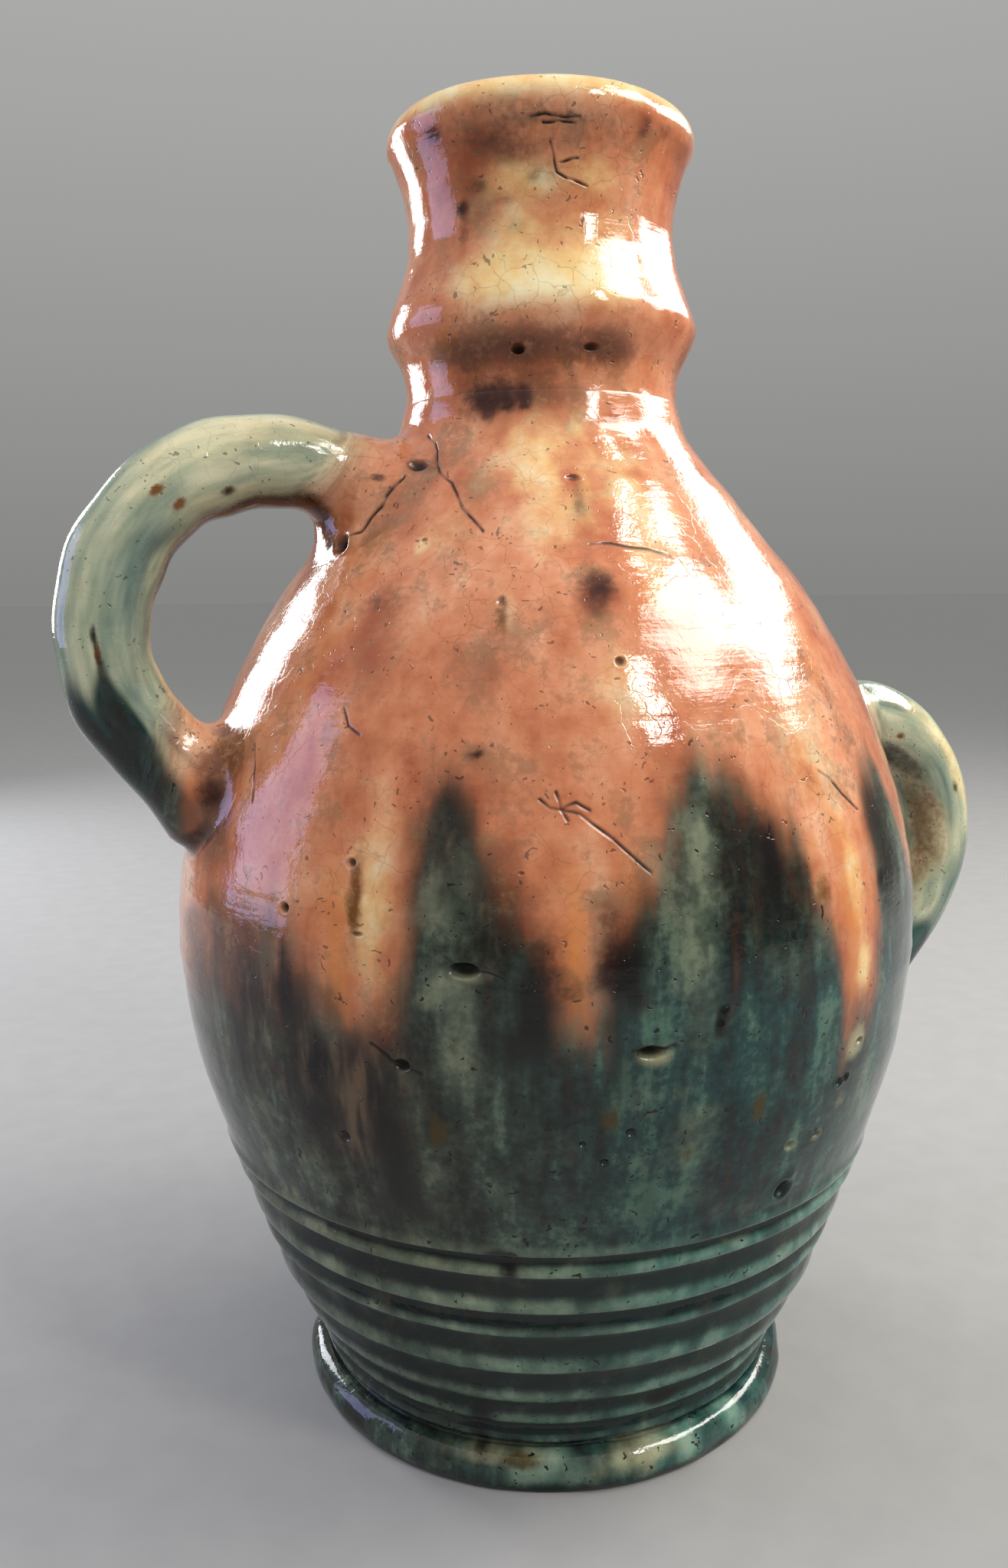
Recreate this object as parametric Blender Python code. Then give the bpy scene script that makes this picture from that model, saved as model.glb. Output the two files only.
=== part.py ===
"""A glazed stoneware vase with a ringed neck and two pulled handles set at different heights.

The clay pieces are the ones a potter joins with slip: a thrown body, a thrown neck, a coil
round the foot, two pulled handles, and a collar of soft clay pressed round each handle's ends.
Z runs up the throwing axis from the surface the vase stands on. Both handles lie in the XZ
plane, the shoulder handle on -X and the lower side handle on +X. Lengths are in metres.
"""

from math import cos, exp, pi, sin

import bmesh
import bpy
from mathutils import Matrix, Vector

# Slip seam left between two luted pieces
SEAM = 0.0003

# Foot
FOOT_CREASE_RADIUS = 0.0514
FOOT_RING_HEIGHT = 0.0078
FOOT_RING_FULLEST_HEIGHT = 0.0033
FOOT_RING_REACH = 0.0048
FOOT_STANDING_INSET = 0.0017
FLOOR_THICKNESS = 0.0080
FLOOR_CORNER = 0.0060

# Body
BELLY_HEIGHT = 0.1050
BELLY_RADIUS = 0.0820
SHOULDER_RISE = 0.1140
WAIST_RADIUS = 0.0291
BODY_WALL = 0.0055

# Shares of the rise and of the swell, from the foot's crease up to the belly
LOWER_WALL_SHAPE = (
    (0.0, 0.0),
    (0.11, 0.125),
    (0.19, 0.280),
    (0.31, 0.432),
    (0.45, 0.585),
    (0.62, 0.770),
    (0.80, 0.925),
    (1.0, 1.0),
)

# Shares of the rise and of the fall, from the belly up to the waist under the neck ring
UPPER_WALL_SHAPE = (
    (0.0, 0.0),
    (0.12, 0.013),
    (0.26, 0.074),
    (0.41, 0.187),
    (0.53, 0.313),
    (0.65, 0.473),
    (0.745, 0.640),
    (0.82, 0.766),
    (0.88, 0.877),
    (0.93, 0.953),
    (1.0, 1.0),
)

# Turned grooves round the lower wall
GROOVE_HEIGHTS = (0.0148, 0.0213, 0.0303, 0.0403, 0.0463, 0.0554, 0.0603)
GROOVE_DEPTH = 0.0010
GROOVE_HALF_WIDTH = 0.0015
RIB_SWELL = 0.0004

# Neck and lip, with heights taken from the piece below; the lip's angles are in degrees
NECK_RING_RISE = 0.0136
NECK_RING_RADIUS = 0.0333
NECK_RING_SHARPNESS = 0.75
THROAT_RISE = 0.0199
THROAT_RADIUS = 0.0281
NECK_WALL = 0.0050
NECK_RING_HOLLOW = 0.0023
LIP_RISE = 0.0225
LIP_RADIUS = 0.0321
LIP_ROLL = 0.0051
LIP_FLARE_START = -50.0
LIP_INNER_END = 200.0

# Handles: each path point is (height above the upper root, distance out from the wall)
HANDLE_ROLL = 0.0098
SHOULDER_ROOT_DROP = 0.0210
SHOULDER_PATH = (
    (-0.0040, -0.0150),
    (-0.0005, -0.0040),
    (0.0045, 0.0090),
    (0.0070, 0.0205),
    (0.0058, 0.0325),
    (0.0008, 0.0390),
    (-0.0104, 0.0398),
    (-0.0246, 0.0333),
    (-0.0378, 0.0242),
    (-0.0480, 0.0130),
    (-0.0555, 0.0030),
    (-0.0625, -0.0090),
)
SIDE_ROOT_RISE = 0.0380
SIDE_PATH = (
    (-0.0020, -0.0150),
    (0.0005, -0.0030),
    (0.0036, 0.0105),
    (0.0008, 0.0229),
    (-0.0077, 0.0300),
    (-0.0191, 0.0330),
    (-0.0318, 0.0326),
    (-0.0444, 0.0281),
    (-0.0559, 0.0204),
    (-0.0674, 0.0118),
    (-0.0745, 0.0030),
    (-0.0800, -0.0090),
)

# Clay collars pressed round the handles' ends
COLLAR_EDGE = 0.0009
COLLAR_LENGTH = 0.0120
COLLAR_TAPER = 1.6
UPPER_COLLAR_RISE = 0.0042
UPPER_COLLAR_SPREAD = 0.0070
LOWER_COLLAR_RISE = 0.0040
LOWER_COLLAR_SPREAD = 0.0030

# Heights up the throwing axis that follow from the sizes above
WAIST_HEIGHT = BELLY_HEIGHT + SHOULDER_RISE
NECK_RING_HEIGHT = WAIST_HEIGHT + NECK_RING_RISE
THROAT_HEIGHT = NECK_RING_HEIGHT + THROAT_RISE
LIP_HEIGHT = THROAT_HEIGHT + LIP_RISE
SHOULDER_ROOT_HEIGHT = WAIST_HEIGHT - SHOULDER_ROOT_DROP
SIDE_ROOT_HEIGHT = BELLY_HEIGHT + SIDE_ROOT_RISE

# Fineness of the turned and swept meshes
TURNED_STEPS = 48
WALL_STEPS = 18
INSIDE_STEPS = 15
FLOOR_CORNER_STEPS = 4
FOOT_RING_STEPS = 5
NECK_STEPS = 7
LIP_STEPS = 11
NECK_INSIDE_STEPS = 4
ROLL_SIDES = 16
ROLL_STEPS = 34
WELD = 0.000005
SHARP_ANGLE = pi / 5

# Glaze colours as linear red, green and blue, and their gloss
BODY_COLOUR = (0.22, 0.13, 0.075)
NECK_COLOUR = (0.48, 0.23, 0.12)
FOOT_COLOUR = (0.05, 0.10, 0.095)
SHOULDER_HANDLE_COLOUR = (0.28, 0.33, 0.24)
SIDE_HANDLE_COLOUR = (0.33, 0.33, 0.17)
COLLAR_COLOUR = (0.42, 0.22, 0.12)
GLAZE_ROUGHNESS = 0.12


def hermite(stations, place):
    """Smooth curve through (place, value) stations, read at one place."""
    last = len(stations) - 2
    index = 0
    while index < last and place > stations[index + 1][0]:
        index += 1

    def slope(at):
        low = max(at - 1, 0)
        high = min(at + 1, len(stations) - 1)
        return (stations[high][1] - stations[low][1]) / (stations[high][0] - stations[low][0])

    (start, first), (end, second) = stations[index], stations[index + 1]
    span = end - start
    t = (place - start) / span
    bend = slope(index) * span * (t ** 3 - 2 * t ** 2 + t) + slope(index + 1) * span * (t ** 3 - t ** 2)
    return first * (2 * t ** 3 - 3 * t ** 2 + 1) + second * (3 * t ** 2 - 2 * t ** 3) + bend


def ease(t):
    """Half a cosine wave, from 0 to 1."""
    return 0.5 - 0.5 * cos(pi * t)


def neck_radius(height):
    """Outer radius of the neck, from the waist over the ring to the throat."""
    if height <= NECK_RING_HEIGHT:
        t = (height - WAIST_HEIGHT) / NECK_RING_RISE
        return WAIST_RADIUS + (NECK_RING_RADIUS - WAIST_RADIUS) * ease(t)
    t = min((height - NECK_RING_HEIGHT) / THROAT_RISE, 1.0)
    return NECK_RING_RADIUS + (THROAT_RADIUS - NECK_RING_RADIUS) * ease(t ** NECK_RING_SHARPNESS)


def wall_radius(height):
    """Outer radius of the wall before its grooves are turned."""
    if height > WAIST_HEIGHT:
        return neck_radius(height)
    if height > BELLY_HEIGHT:
        share = hermite(UPPER_WALL_SHAPE, (height - BELLY_HEIGHT) / SHOULDER_RISE)
        return BELLY_RADIUS + share * (WAIST_RADIUS - BELLY_RADIUS)
    rise = max(height - FOOT_RING_HEIGHT, 0.0) / (BELLY_HEIGHT - FOOT_RING_HEIGHT)
    return FOOT_CREASE_RADIUS + hermite(LOWER_WALL_SHAPE, rise) * (BELLY_RADIUS - FOOT_CREASE_RADIUS)


def turned_radius(height):
    """Outer radius of the body with its grooves and the ribs between them."""
    radius = wall_radius(height)
    for groove in GROOVE_HEIGHTS:
        radius -= GROOVE_DEPTH * exp(-((height - groove) / GROOVE_HALF_WIDTH) ** 2)
    if GROOVE_HEIGHTS[0] < height < GROOVE_HEIGHTS[-1]:
        radius += RIB_SWELL
    return radius


def spaced(start, end, count):
    """Evenly spaced values from start to end, both included."""
    return [start + (end - start) * index / count for index in range(count + 1)]


def body_outside():
    """Outer outline of the body as (radius, height), from the foot's crease to the waist."""
    heights = [FOOT_RING_HEIGHT, (FOOT_RING_HEIGHT + GROOVE_HEIGHTS[0]) / 2]
    for index, groove in enumerate(GROOVE_HEIGHTS):
        heights += [groove - GROOVE_HALF_WIDTH, groove, groove + GROOVE_HALF_WIDTH]
        if index + 1 < len(GROOVE_HEIGHTS):
            heights.append((groove + GROOVE_HEIGHTS[index + 1]) / 2)
    smooth_start = GROOVE_HEIGHTS[-1] + 3 * GROOVE_HALF_WIDTH
    heights += spaced(smooth_start, WAIST_HEIGHT, WALL_STEPS)
    return [(turned_radius(height), height) for height in heights]


def body_inside():
    """Inner outline of the body, from the waist down to the middle of the floor."""
    corner_height = FLOOR_THICKNESS + FLOOR_CORNER
    heights = spaced(WAIST_HEIGHT, corner_height, INSIDE_STEPS)
    points = [(wall_radius(height) - BODY_WALL, height) for height in heights]
    centre = points[-1][0] - FLOOR_CORNER
    for angle in spaced(0.0, pi / 2, FLOOR_CORNER_STEPS)[1:]:
        points.append((centre + FLOOR_CORNER * cos(angle), corner_height - FLOOR_CORNER * sin(angle)))
    points.append((0.0, FLOOR_THICKNESS))
    return points


def lip_outline():
    """Rolled lip, from where the flare meets it, over the top and down to the bore."""
    centre = LIP_RADIUS - LIP_ROLL
    middle = LIP_HEIGHT - LIP_ROLL
    angles = [angle * pi / 180 for angle in spaced(LIP_FLARE_START, LIP_INNER_END, LIP_STEPS)]
    return [(centre + LIP_ROLL * cos(angle), middle + LIP_ROLL * sin(angle)) for angle in angles]


def neck_outside():
    """Outer outline of the neck, from its seam on the body up to the lip."""
    heights = spaced(WAIST_HEIGHT + SEAM, NECK_RING_HEIGHT, NECK_STEPS)
    heights += spaced(NECK_RING_HEIGHT, THROAT_HEIGHT, NECK_STEPS)[1:]
    points = [(neck_radius(height), height) for height in heights]
    radius, height = lip_outline()[0]
    for t in spaced(0.0, 1.0, NECK_INSIDE_STEPS)[1:-1]:
        flare = (radius - THROAT_RADIUS) * t ** 2
        points.append((THROAT_RADIUS + flare, THROAT_HEIGHT + (height - THROAT_HEIGHT) * t))
    return points


def neck_inside():
    """Inner outline of the neck, from the lip down to the seam on the body."""
    ring = WAIST_RADIUS - NECK_WALL + NECK_RING_HOLLOW
    stations = [
        lip_outline()[-1],
        (THROAT_RADIUS - NECK_WALL, THROAT_HEIGHT),
        (ring, NECK_RING_HEIGHT),
        (WAIST_RADIUS - NECK_WALL, WAIST_HEIGHT + SEAM),
    ]
    points = []
    for (upper, top), (lower, bottom) in zip(stations, stations[1:]):
        for t in spaced(0.0, 1.0, NECK_INSIDE_STEPS)[1:]:
            points.append((upper + (lower - upper) * ease(t), top + (bottom - top) * t))
    return points


def foot_ring_outline():
    """Closed outline of the coil round the foot, anticlockwise from its inner lower corner."""
    inside = FOOT_CREASE_RADIUS + SEAM
    outside = FOOT_CREASE_RADIUS + FOOT_RING_REACH
    standing = outside - FOOT_STANDING_INSET
    rise = FOOT_RING_HEIGHT - FOOT_RING_FULLEST_HEIGHT
    points = [(inside, 0.0)]
    for angle in spaced(-pi / 2, 0.0, FOOT_RING_STEPS)[:-1]:
        height = FOOT_RING_FULLEST_HEIGHT * (1 + sin(angle))
        points.append((standing + FOOT_STANDING_INSET * cos(angle), height))
    for angle in spaced(0.0, pi / 2, FOOT_RING_STEPS):
        height = FOOT_RING_FULLEST_HEIGHT + rise * sin(angle)
        points.append((inside + (outside - inside) * cos(angle), height))
    return points


def offset_outline(points, distance):
    """Move an outline of (radius, height) points outwards, square to the line."""
    moved = []
    for index, (radius, height) in enumerate(points):
        before = points[max(index - 1, 0)]
        after = points[min(index + 1, len(points) - 1)]
        along = Vector((after[0] - before[0], after[1] - before[1])).normalized()
        moved.append((radius + along.y * distance, height - along.x * distance))
    return moved


def new_object(name, mesh_source, material):
    """Put a finished bmesh into the scene as a smooth-shaded object."""
    bmesh.ops.recalc_face_normals(mesh_source, faces=mesh_source.faces)
    mesh = bpy.data.meshes.new(name)
    mesh_source.to_mesh(mesh)
    mesh_source.free()
    mesh.shade_smooth()
    mesh.set_sharp_from_angle(angle=SHARP_ANGLE)
    piece = bpy.data.objects.new(name, mesh)
    bpy.context.scene.collection.objects.link(piece)
    if material:
        mesh.materials.append(material)
    return piece


def turned(name, points, closed, material=None):
    """Turn an outline of (radius, height) points about the throwing axis."""
    mesh = bmesh.new()
    corners = [mesh.verts.new((radius, 0.0, height)) for radius, height in points]
    edges = [mesh.edges.new(pair) for pair in zip(corners, corners[1:])]
    if closed:
        edges.append(mesh.edges.new((corners[-1], corners[0])))
    bmesh.ops.spin(
        mesh,
        geom=corners + edges,
        axis=(0, 0, 1),
        cent=(0, 0, 0),
        angle=2 * pi,
        steps=TURNED_STEPS,
        use_merge=True,
    )
    bmesh.ops.remove_doubles(mesh, verts=mesh.verts, dist=WELD)
    return new_object(name, mesh, material)


def swept(name, path, sizes, material=None):
    """Sweep an oval along a path in the XZ plane; sizes are (in plane, across) half widths."""
    mesh = bmesh.new()
    rings = []
    for index, point in enumerate(path):
        before = path[max(index - 1, 0)]
        after = path[min(index + 1, len(path) - 1)]
        along = (after - before).normalized()
        across = Vector((0.0, 1.0, 0.0))
        upright = across.cross(along)
        turn = Matrix((upright, across, along)).transposed().to_4x4()
        size = Matrix.Diagonal((sizes[index][0], sizes[index][1], 1.0, 1.0))
        end = index in (0, len(path) - 1)
        made = bmesh.ops.create_circle(
            mesh,
            cap_ends=end,
            segments=ROLL_SIDES,
            radius=1.0,
            matrix=Matrix.Translation(point) @ turn @ size,
        )
        ring = {edge for vert in made["verts"] for edge in vert.link_edges}
        rings.append([edge for edge in ring if len(edge.link_faces) <= 1])
    for lower, upper in zip(rings, rings[1:]):
        bmesh.ops.bridge_loops(mesh, edges=lower + upper)
    return new_object(name, mesh, material)


def handle_path(side, root_height, shape):
    """Evenly spaced points of a handle's centre line; side is -1 or 1 along X."""
    knots = []
    for rise, out in shape:
        height = root_height + rise
        knots.append(Vector((side * (wall_radius(height) + out), 0.0, height)))
    lengths = [0.0]
    for first, second in zip(knots, knots[1:]):
        lengths.append(lengths[-1] + (second - first).length)
    across = [(length, knot.x) for length, knot in zip(lengths, knots)]
    upward = [(length, knot.z) for length, knot in zip(lengths, knots)]
    places = spaced(0.0, lengths[-1], ROLL_STEPS)
    return [Vector((hermite(across, place), 0.0, hermite(upward, place))) for place in places]


def distance_out(point):
    """How far a point of a handle's path stands out from the wall."""
    return abs(point.x) - wall_radius(point.z)


def collar_sizes(path, rise, spread):
    """Half widths of a clay collar that narrows along the path from the wall to the roll."""
    slim = HANDLE_ROLL + SEAM + COLLAR_EDGE
    sizes = []
    for point in path:
        nearness = min(max(1.0 - distance_out(point) / COLLAR_LENGTH, 0.0), 1.0)
        share = nearness ** COLLAR_TAPER
        sizes.append((slim + rise * share, slim + spread * share))
    return sizes


def cut(piece, cutter, name):
    """Take the cutter's shape out of a piece with an exact Boolean modifier."""
    modifier = piece.modifiers.new(name, "BOOLEAN")
    modifier.operation = "DIFFERENCE"
    modifier.solver = "EXACT"
    modifier.object = cutter
    cutter.hide_render = True
    cutter.display_type = "WIRE"


def glaze(name, colour):
    """Principled material of one glazed piece."""
    material = bpy.data.materials.new(name)
    material.use_nodes = True
    shader = material.node_tree.nodes["Principled BSDF"]
    shader.inputs["Base Color"].default_value = (*colour, 1.0)
    shader.inputs["Roughness"].default_value = GLAZE_ROUGHNESS
    shader.inputs["Metallic"].default_value = 0.0
    material.diffuse_color = (*colour, 1.0)
    return material


def build_body():
    """Thrown body: flat base, turned wall with its grooves, and the hollow inside."""
    base = [(0.0, 0.0), (FOOT_CREASE_RADIUS, 0.0)]
    return turned("body", base + body_outside() + body_inside(), False, glaze("body_glaze", BODY_COLOUR))


def build_neck():
    """Thrown neck, luted on at the waist, with its ring and rolled lip."""
    outline = neck_outside() + lip_outline() + neck_inside()
    return turned("neck", outline, True, glaze("neck_glaze", NECK_COLOUR))


def build_foot_ring():
    """Coil of clay round the foot, which stands level with the flat base."""
    return turned("foot_ring", foot_ring_outline(), True, glaze("foot_glaze", FOOT_COLOUR))


def build_wall_cutter():
    """Solid of the whole outside plus the slip seam, used to fit what is luted on."""
    outline = offset_outline(body_outside() + neck_outside(), SEAM)
    capped = [(0.0, outline[0][1])] + outline + [(0.0, outline[-1][1])]
    return turned("wall_cutter", capped, False)


def build_handle(name, path, wall_cutter, colour):
    """Pulled roll of clay whose ends are shaped to the wall; returns the cutter for its collars."""
    sizes = [(HANDLE_ROLL, HANDLE_ROLL)] * len(path)
    handle = swept(name, path, sizes, glaze(name + "_glaze", colour))
    cut(handle, wall_cutter, "fit_to_wall")
    clear = HANDLE_ROLL + SEAM
    return swept(name + "_cutter", path, [(clear, clear)] * len(path))


def build_collar(name, path, rise, spread, wall_cutter, roll_cutter):
    """Collar of soft clay pressed round one end of a handle and smoothed on to the wall."""
    end = 1
    while end < len(path) and distance_out(path[end - 1]) < COLLAR_LENGTH:
        end += 1
    stretch = path[:end]
    sizes = collar_sizes(stretch, rise, spread)
    collar = swept(name, stretch, sizes, glaze(name + "_glaze", COLLAR_COLOUR))
    cut(collar, wall_cutter, "fit_to_wall")
    cut(collar, roll_cutter, "fit_to_roll")


def build_vase():
    """Make every clay piece of the vase."""
    for leftover in list(bpy.data.objects):
        bpy.data.objects.remove(leftover, do_unlink=True)

    build_body()
    build_neck()
    build_foot_ring()
    wall_cutter = build_wall_cutter()
    handles = (
        ("shoulder_handle", -1, SHOULDER_ROOT_HEIGHT, SHOULDER_PATH, SHOULDER_HANDLE_COLOUR),
        ("side_handle", 1, SIDE_ROOT_HEIGHT, SIDE_PATH, SIDE_HANDLE_COLOUR),
    )
    for name, side, root_height, shape, colour in handles:
        path = handle_path(side, root_height, shape)
        roll_cutter = build_handle(name, path, wall_cutter, colour)
        upper = name + "_upper_collar"
        lower = name + "_lower_collar"
        build_collar(upper, path, UPPER_COLLAR_RISE, UPPER_COLLAR_SPREAD, wall_cutter, roll_cutter)
        build_collar(lower, path[::-1], LOWER_COLLAR_RISE, LOWER_COLLAR_SPREAD, wall_cutter, roll_cutter)


build_vase()
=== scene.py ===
"""The glazed stoneware vase, dressed over its CAD frame: thrown surfaces with ribs, wobble,
pits and cracks, pulled handles that flow into the wall, and one run of glaze over all of it.

Places on the pot are given as (turn, height): turn is the degrees round the throwing axis,
counted to the right from the side that faces the camera, and height is in millimetres above
the surface the vase stands on. Handle places are (along, around): along is in millimetres
from the upper root, and around is the degrees about the roll, with 90 on the outer side of
the loop and 180 on the side that faces the camera.
"""

from types import SimpleNamespace

import bmesh
import bpy
import numpy as np
from mathutils import Matrix, Vector


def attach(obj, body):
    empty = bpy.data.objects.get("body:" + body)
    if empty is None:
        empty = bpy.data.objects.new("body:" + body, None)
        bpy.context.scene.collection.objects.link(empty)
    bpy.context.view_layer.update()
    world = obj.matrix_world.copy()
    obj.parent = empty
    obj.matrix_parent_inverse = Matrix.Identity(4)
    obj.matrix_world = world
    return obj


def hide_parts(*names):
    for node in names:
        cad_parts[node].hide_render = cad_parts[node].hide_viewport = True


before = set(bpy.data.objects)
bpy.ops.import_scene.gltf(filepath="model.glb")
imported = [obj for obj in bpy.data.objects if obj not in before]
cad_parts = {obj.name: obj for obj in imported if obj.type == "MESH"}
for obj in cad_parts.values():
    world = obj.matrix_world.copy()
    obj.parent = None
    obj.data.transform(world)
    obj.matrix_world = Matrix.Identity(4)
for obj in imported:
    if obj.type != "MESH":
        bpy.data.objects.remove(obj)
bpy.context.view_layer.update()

MM = 0.001

# The side of the pot that faces the camera, in degrees round the throwing axis
FRONT = -115.0

# Camera: metres from the axis and above the shelf, lens in mm, and its turns in radians
CAMERA_DISTANCE = 0.27816
CAMERA_HEIGHT = 0.18029
CAMERA_LENS = 28.42
CAMERA_YAW = np.radians(-25.0) + 0.0312
CAMERA_PITCH = 0.1593
CAMERA_ROLL = -0.0089

# Where the lamps are aimed, and half the width of the floor, in metres
LIT_POINT = Vector((0.0, 0.0, 0.15))
FLOOR_HALF = 14.0

# Thrown wall, in metres, as the frame has it
FOOT_CREASE_RADIUS = 0.0514
FOOT_RING_HEIGHT = 0.0078
FOOT_RING_FULLEST_HEIGHT = 0.0033
FOOT_RING_REACH = 0.0046
FLOOR_THICKNESS = 0.0080
FLOOR_CORNER = 0.0060
BELLY_HEIGHT = 0.1050
BELLY_RADIUS = 0.0812
WAIST_HEIGHT = 0.2190
WAIST_RADIUS = 0.0291
BODY_WALL = 0.0055
NECK_RING_HEIGHT = 0.2326
NECK_RING_RADIUS = 0.0331
NECK_RING_SHARPNESS = 0.75
NECK_RING_UNDERCUT = 1.5
THROAT_HEIGHT = 0.2525
THROAT_RADIUS = 0.0280
NECK_WALL = 0.0050
NECK_RING_HOLLOW = 0.0023
LIP_HEIGHT = 0.2749
LIP_RADIUS = 0.0320
LIP_ROLL = 0.0051
LIP_START = -24.0
LIP_END = 200.0

# Where the neck's flare runs into the roll of the lip
FLARE_HEIGHT = LIP_HEIGHT - LIP_ROLL + LIP_ROLL * np.sin(np.radians(LIP_START))
FLARE_RADIUS = LIP_RADIUS - LIP_ROLL + LIP_ROLL * np.cos(np.radians(LIP_START))

# How far the foot's coil is tucked in under the crease, and how it is rounded, in mm
FOOT_TUCK = 1.5
FOOT_ROUNDING = 1.6

# How far the neck reaches down over the body, and how deep each sinks there, in mm
NECK_OVERLAP = 2.8
SEAM_SINK = 0.15

# Shares of the rise and of the swell, from the foot's crease up to the belly
LOWER_WALL_SHAPE = (
    (0.0, 0.0), (0.11, 0.125), (0.19, 0.280), (0.31, 0.432),
    (0.45, 0.585), (0.62, 0.770), (0.80, 0.925), (1.0, 1.0),
)

# Shares of the rise and of the fall, from the belly up to the waist under the neck ring
UPPER_WALL_SHAPE = (
    (0.0, 0.0), (0.12, 0.013), (0.26, 0.074), (0.41, 0.187), (0.53, 0.313), (0.65, 0.473),
    (0.745, 0.640), (0.82, 0.766), (0.88, 0.877), (0.93, 0.953), (1.0, 1.0),
)

# Turned grooves, from the top rib down, and the ledge that overhangs each of them, in mm
GROOVES = (60.3, 55.0, 45.9, 40.0, 30.2, 20.6, 13.6)
LAST_RIB_END = 8.2
GROOVE_DEPTH = 1.25
LEDGE_SWELL = 0.55
LEDGE_EDGE = 1.3

# Pulled handles: each path point is (height above the upper root, distance out from the wall)
HANDLE_ROLL = 0.0092
SHOULDER_ROOT = 0.1980
SHOULDER_PATH = (
    (-0.0040, -0.0150), (-0.0005, -0.0040), (0.0045, 0.0090), (0.0070, 0.0205),
    (0.0058, 0.0325), (0.0008, 0.0390), (-0.0104, 0.0398), (-0.0246, 0.0333),
    (-0.0378, 0.0242), (-0.0480, 0.0130), (-0.0555, 0.0030), (-0.0625, -0.0090),
)
SIDE_ROOT = 0.1430
SIDE_PATH = (
    (-0.0020, -0.0150), (0.0005, -0.0030), (0.0036, 0.0105), (0.0008, 0.0229),
    (-0.0077, 0.0300), (-0.0191, 0.0330), (-0.0318, 0.0326), (-0.0444, 0.0281),
    (-0.0559, 0.0204), (-0.0674, 0.0118), (-0.0745, 0.0030), (-0.0800, -0.0090),
)

# Collars at the handles' roots, in metres: length, taper, and (taller, wider) than the roll
COLLAR_LENGTH = 0.0120
COLLAR_TAPER = 1.6
UPPER_COLLAR = (0.0034, 0.0056)
LOWER_COLLAR = (0.0034, 0.0030)
INNER_FILLET = 0.0078
UPPER_OUTER_FILLET = 0.0055
LOWER_OUTER_FILLET = 0.0020

# Edge rows of a collar's skirt, hidden in the wall: (how deep, how far beyond the fillet)
BURIED_ROWS = ((0.0009, 0.0022), (0.00025, 0.0008))

# How far a skirt may reach from its root, and how often the search for its edge is halved
SKIRT_REACH = 0.045
SKIRT_HALVINGS = 26

# How far the glaze's streaks are drawn out along its run
FLOW_STRETCH = 0.20
FLOW_SCALE = np.array([1.0, 1.0, FLOW_STRETCH])

# Fineness of the meshes
BODY_COLUMNS = 288
NECK_COLUMNS = 240
RIBBED_TOP = 64.0
RIB_ROW = 0.64
WALL_ROW = 1.52
NECK_ROW = 0.8
INSIDE_ROW = 10.0
HANDLE_SIDES = 96
HANDLE_ROW = 0.0011
HANDLE_ANGLES = np.arange(HANDLE_SIDES) / HANDLE_SIDES * 2 * np.pi
REFINE_REACHES = (2.6, 1.6, 0.9)
FILLET_ROWS = 22

# Kinds of row in a turned piece: the outer wall, other glazed faces, and the inside
OUTER, GLAZED, INNER = 1.0, 0.5, 0.0

# Faces further round the back than this are left whole, in degrees
BACK_SEAM = 176.0

# The covers of glaze kept on each mesh, up to four under each name
COVER_SETS = {
    "run_one": ("green", "dark", "cream", "olive"),
    "run_two": ("pit", "hollow", "orange", "teal"),
    "run_three": ("handle", "crest", "blue", "inside"),
    "run_four": ("brown", "pale"),
}

# Pits and burst bubbles: (turn, height, half width, half height, depth), the last three in mm
PITS = (
    (-8.5, 225.2, 1.2, 0.8, 1.5), (19, 225.6, 1.3, 0.6, 0.9), (-39.6, 203.2, 1.7, 1, 0.9),
    (8.6, 200, 1.2, 0.6, 0.6), (-52.5, 188.1, 1.9, 1.3, 1.4), (12.2, 167, 0.8, 0.7, 0.8),
    (-7, 177.4, 0.7, 0.8, 0.4), (-26.5, 188.6, 0.6, 0.4, 0.4), (-25, 133.2, 0.8, 0.7, 0.8),
    (-23.4, 121.4, 1.1, 0.4, 0.5), (-35.2, 123.9, 0.9, 0.8, 1), (-9.4, 116.8, 2.3, 1.1, 2),
    (-17.6, 99, 1.3, 1, 1), (13, 102.4, 2.2, 1, 1.8), (-27, 83, 1, 0.9, 0.7), (37, 67.8, 1.7, 1.7, 1.4),
    (43.6, 88.4, 0.9, 0.8, 0.6), (45.2, 88.9, 0.8, 0.7, 0.5), (47.4, 95.3, 0.9, 0.6, 0.6),
    (10.8, 87.6, 0.8, 0.7, 0.5), (4.8, 85.8, 0.6, 0.5, 0.5), (7.6, 82, 0.8, 0.6, 0.5),
    (35.6, 78.4, 1, 0.7, 0.6), (41, 78.4, 0.9, 0.6, 0.6), (-12.8, 25.6, 0.9, 0.6, 0.4),
    (-2.6, 133, 0.5, 0.3, 0.3), (150, 168, 1.2, 0.9, 0.8), (-130, 140, 1.4, 0.8, 1),
    (172, 96, 1.6, 1.1, 1.2), (95, 118, 1.3, 0.8, 0.9), (-105, 84, 1, 0.9, 0.7), (122, 74, 1.2, 1, 0.8),
)
PIT_RIM = 0.10

# Lumps that stand proud of the wall: (turn, height, half width, rise)
LUMPS = (
    (22.4, 107.9, 1.1, 0.4), (21.9, 105.8, 1, 0.4), (-49, 189.4, 1.6, 0.8), (38, 70.9, 1.3, 0.3),
    (-140, 99, 1.2, 0.4), (160, 124, 1.3, 0.5),
)

# How far from a pit or lump its shape reaches, in its own half sizes
MARK_REACH = 2.8

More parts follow.
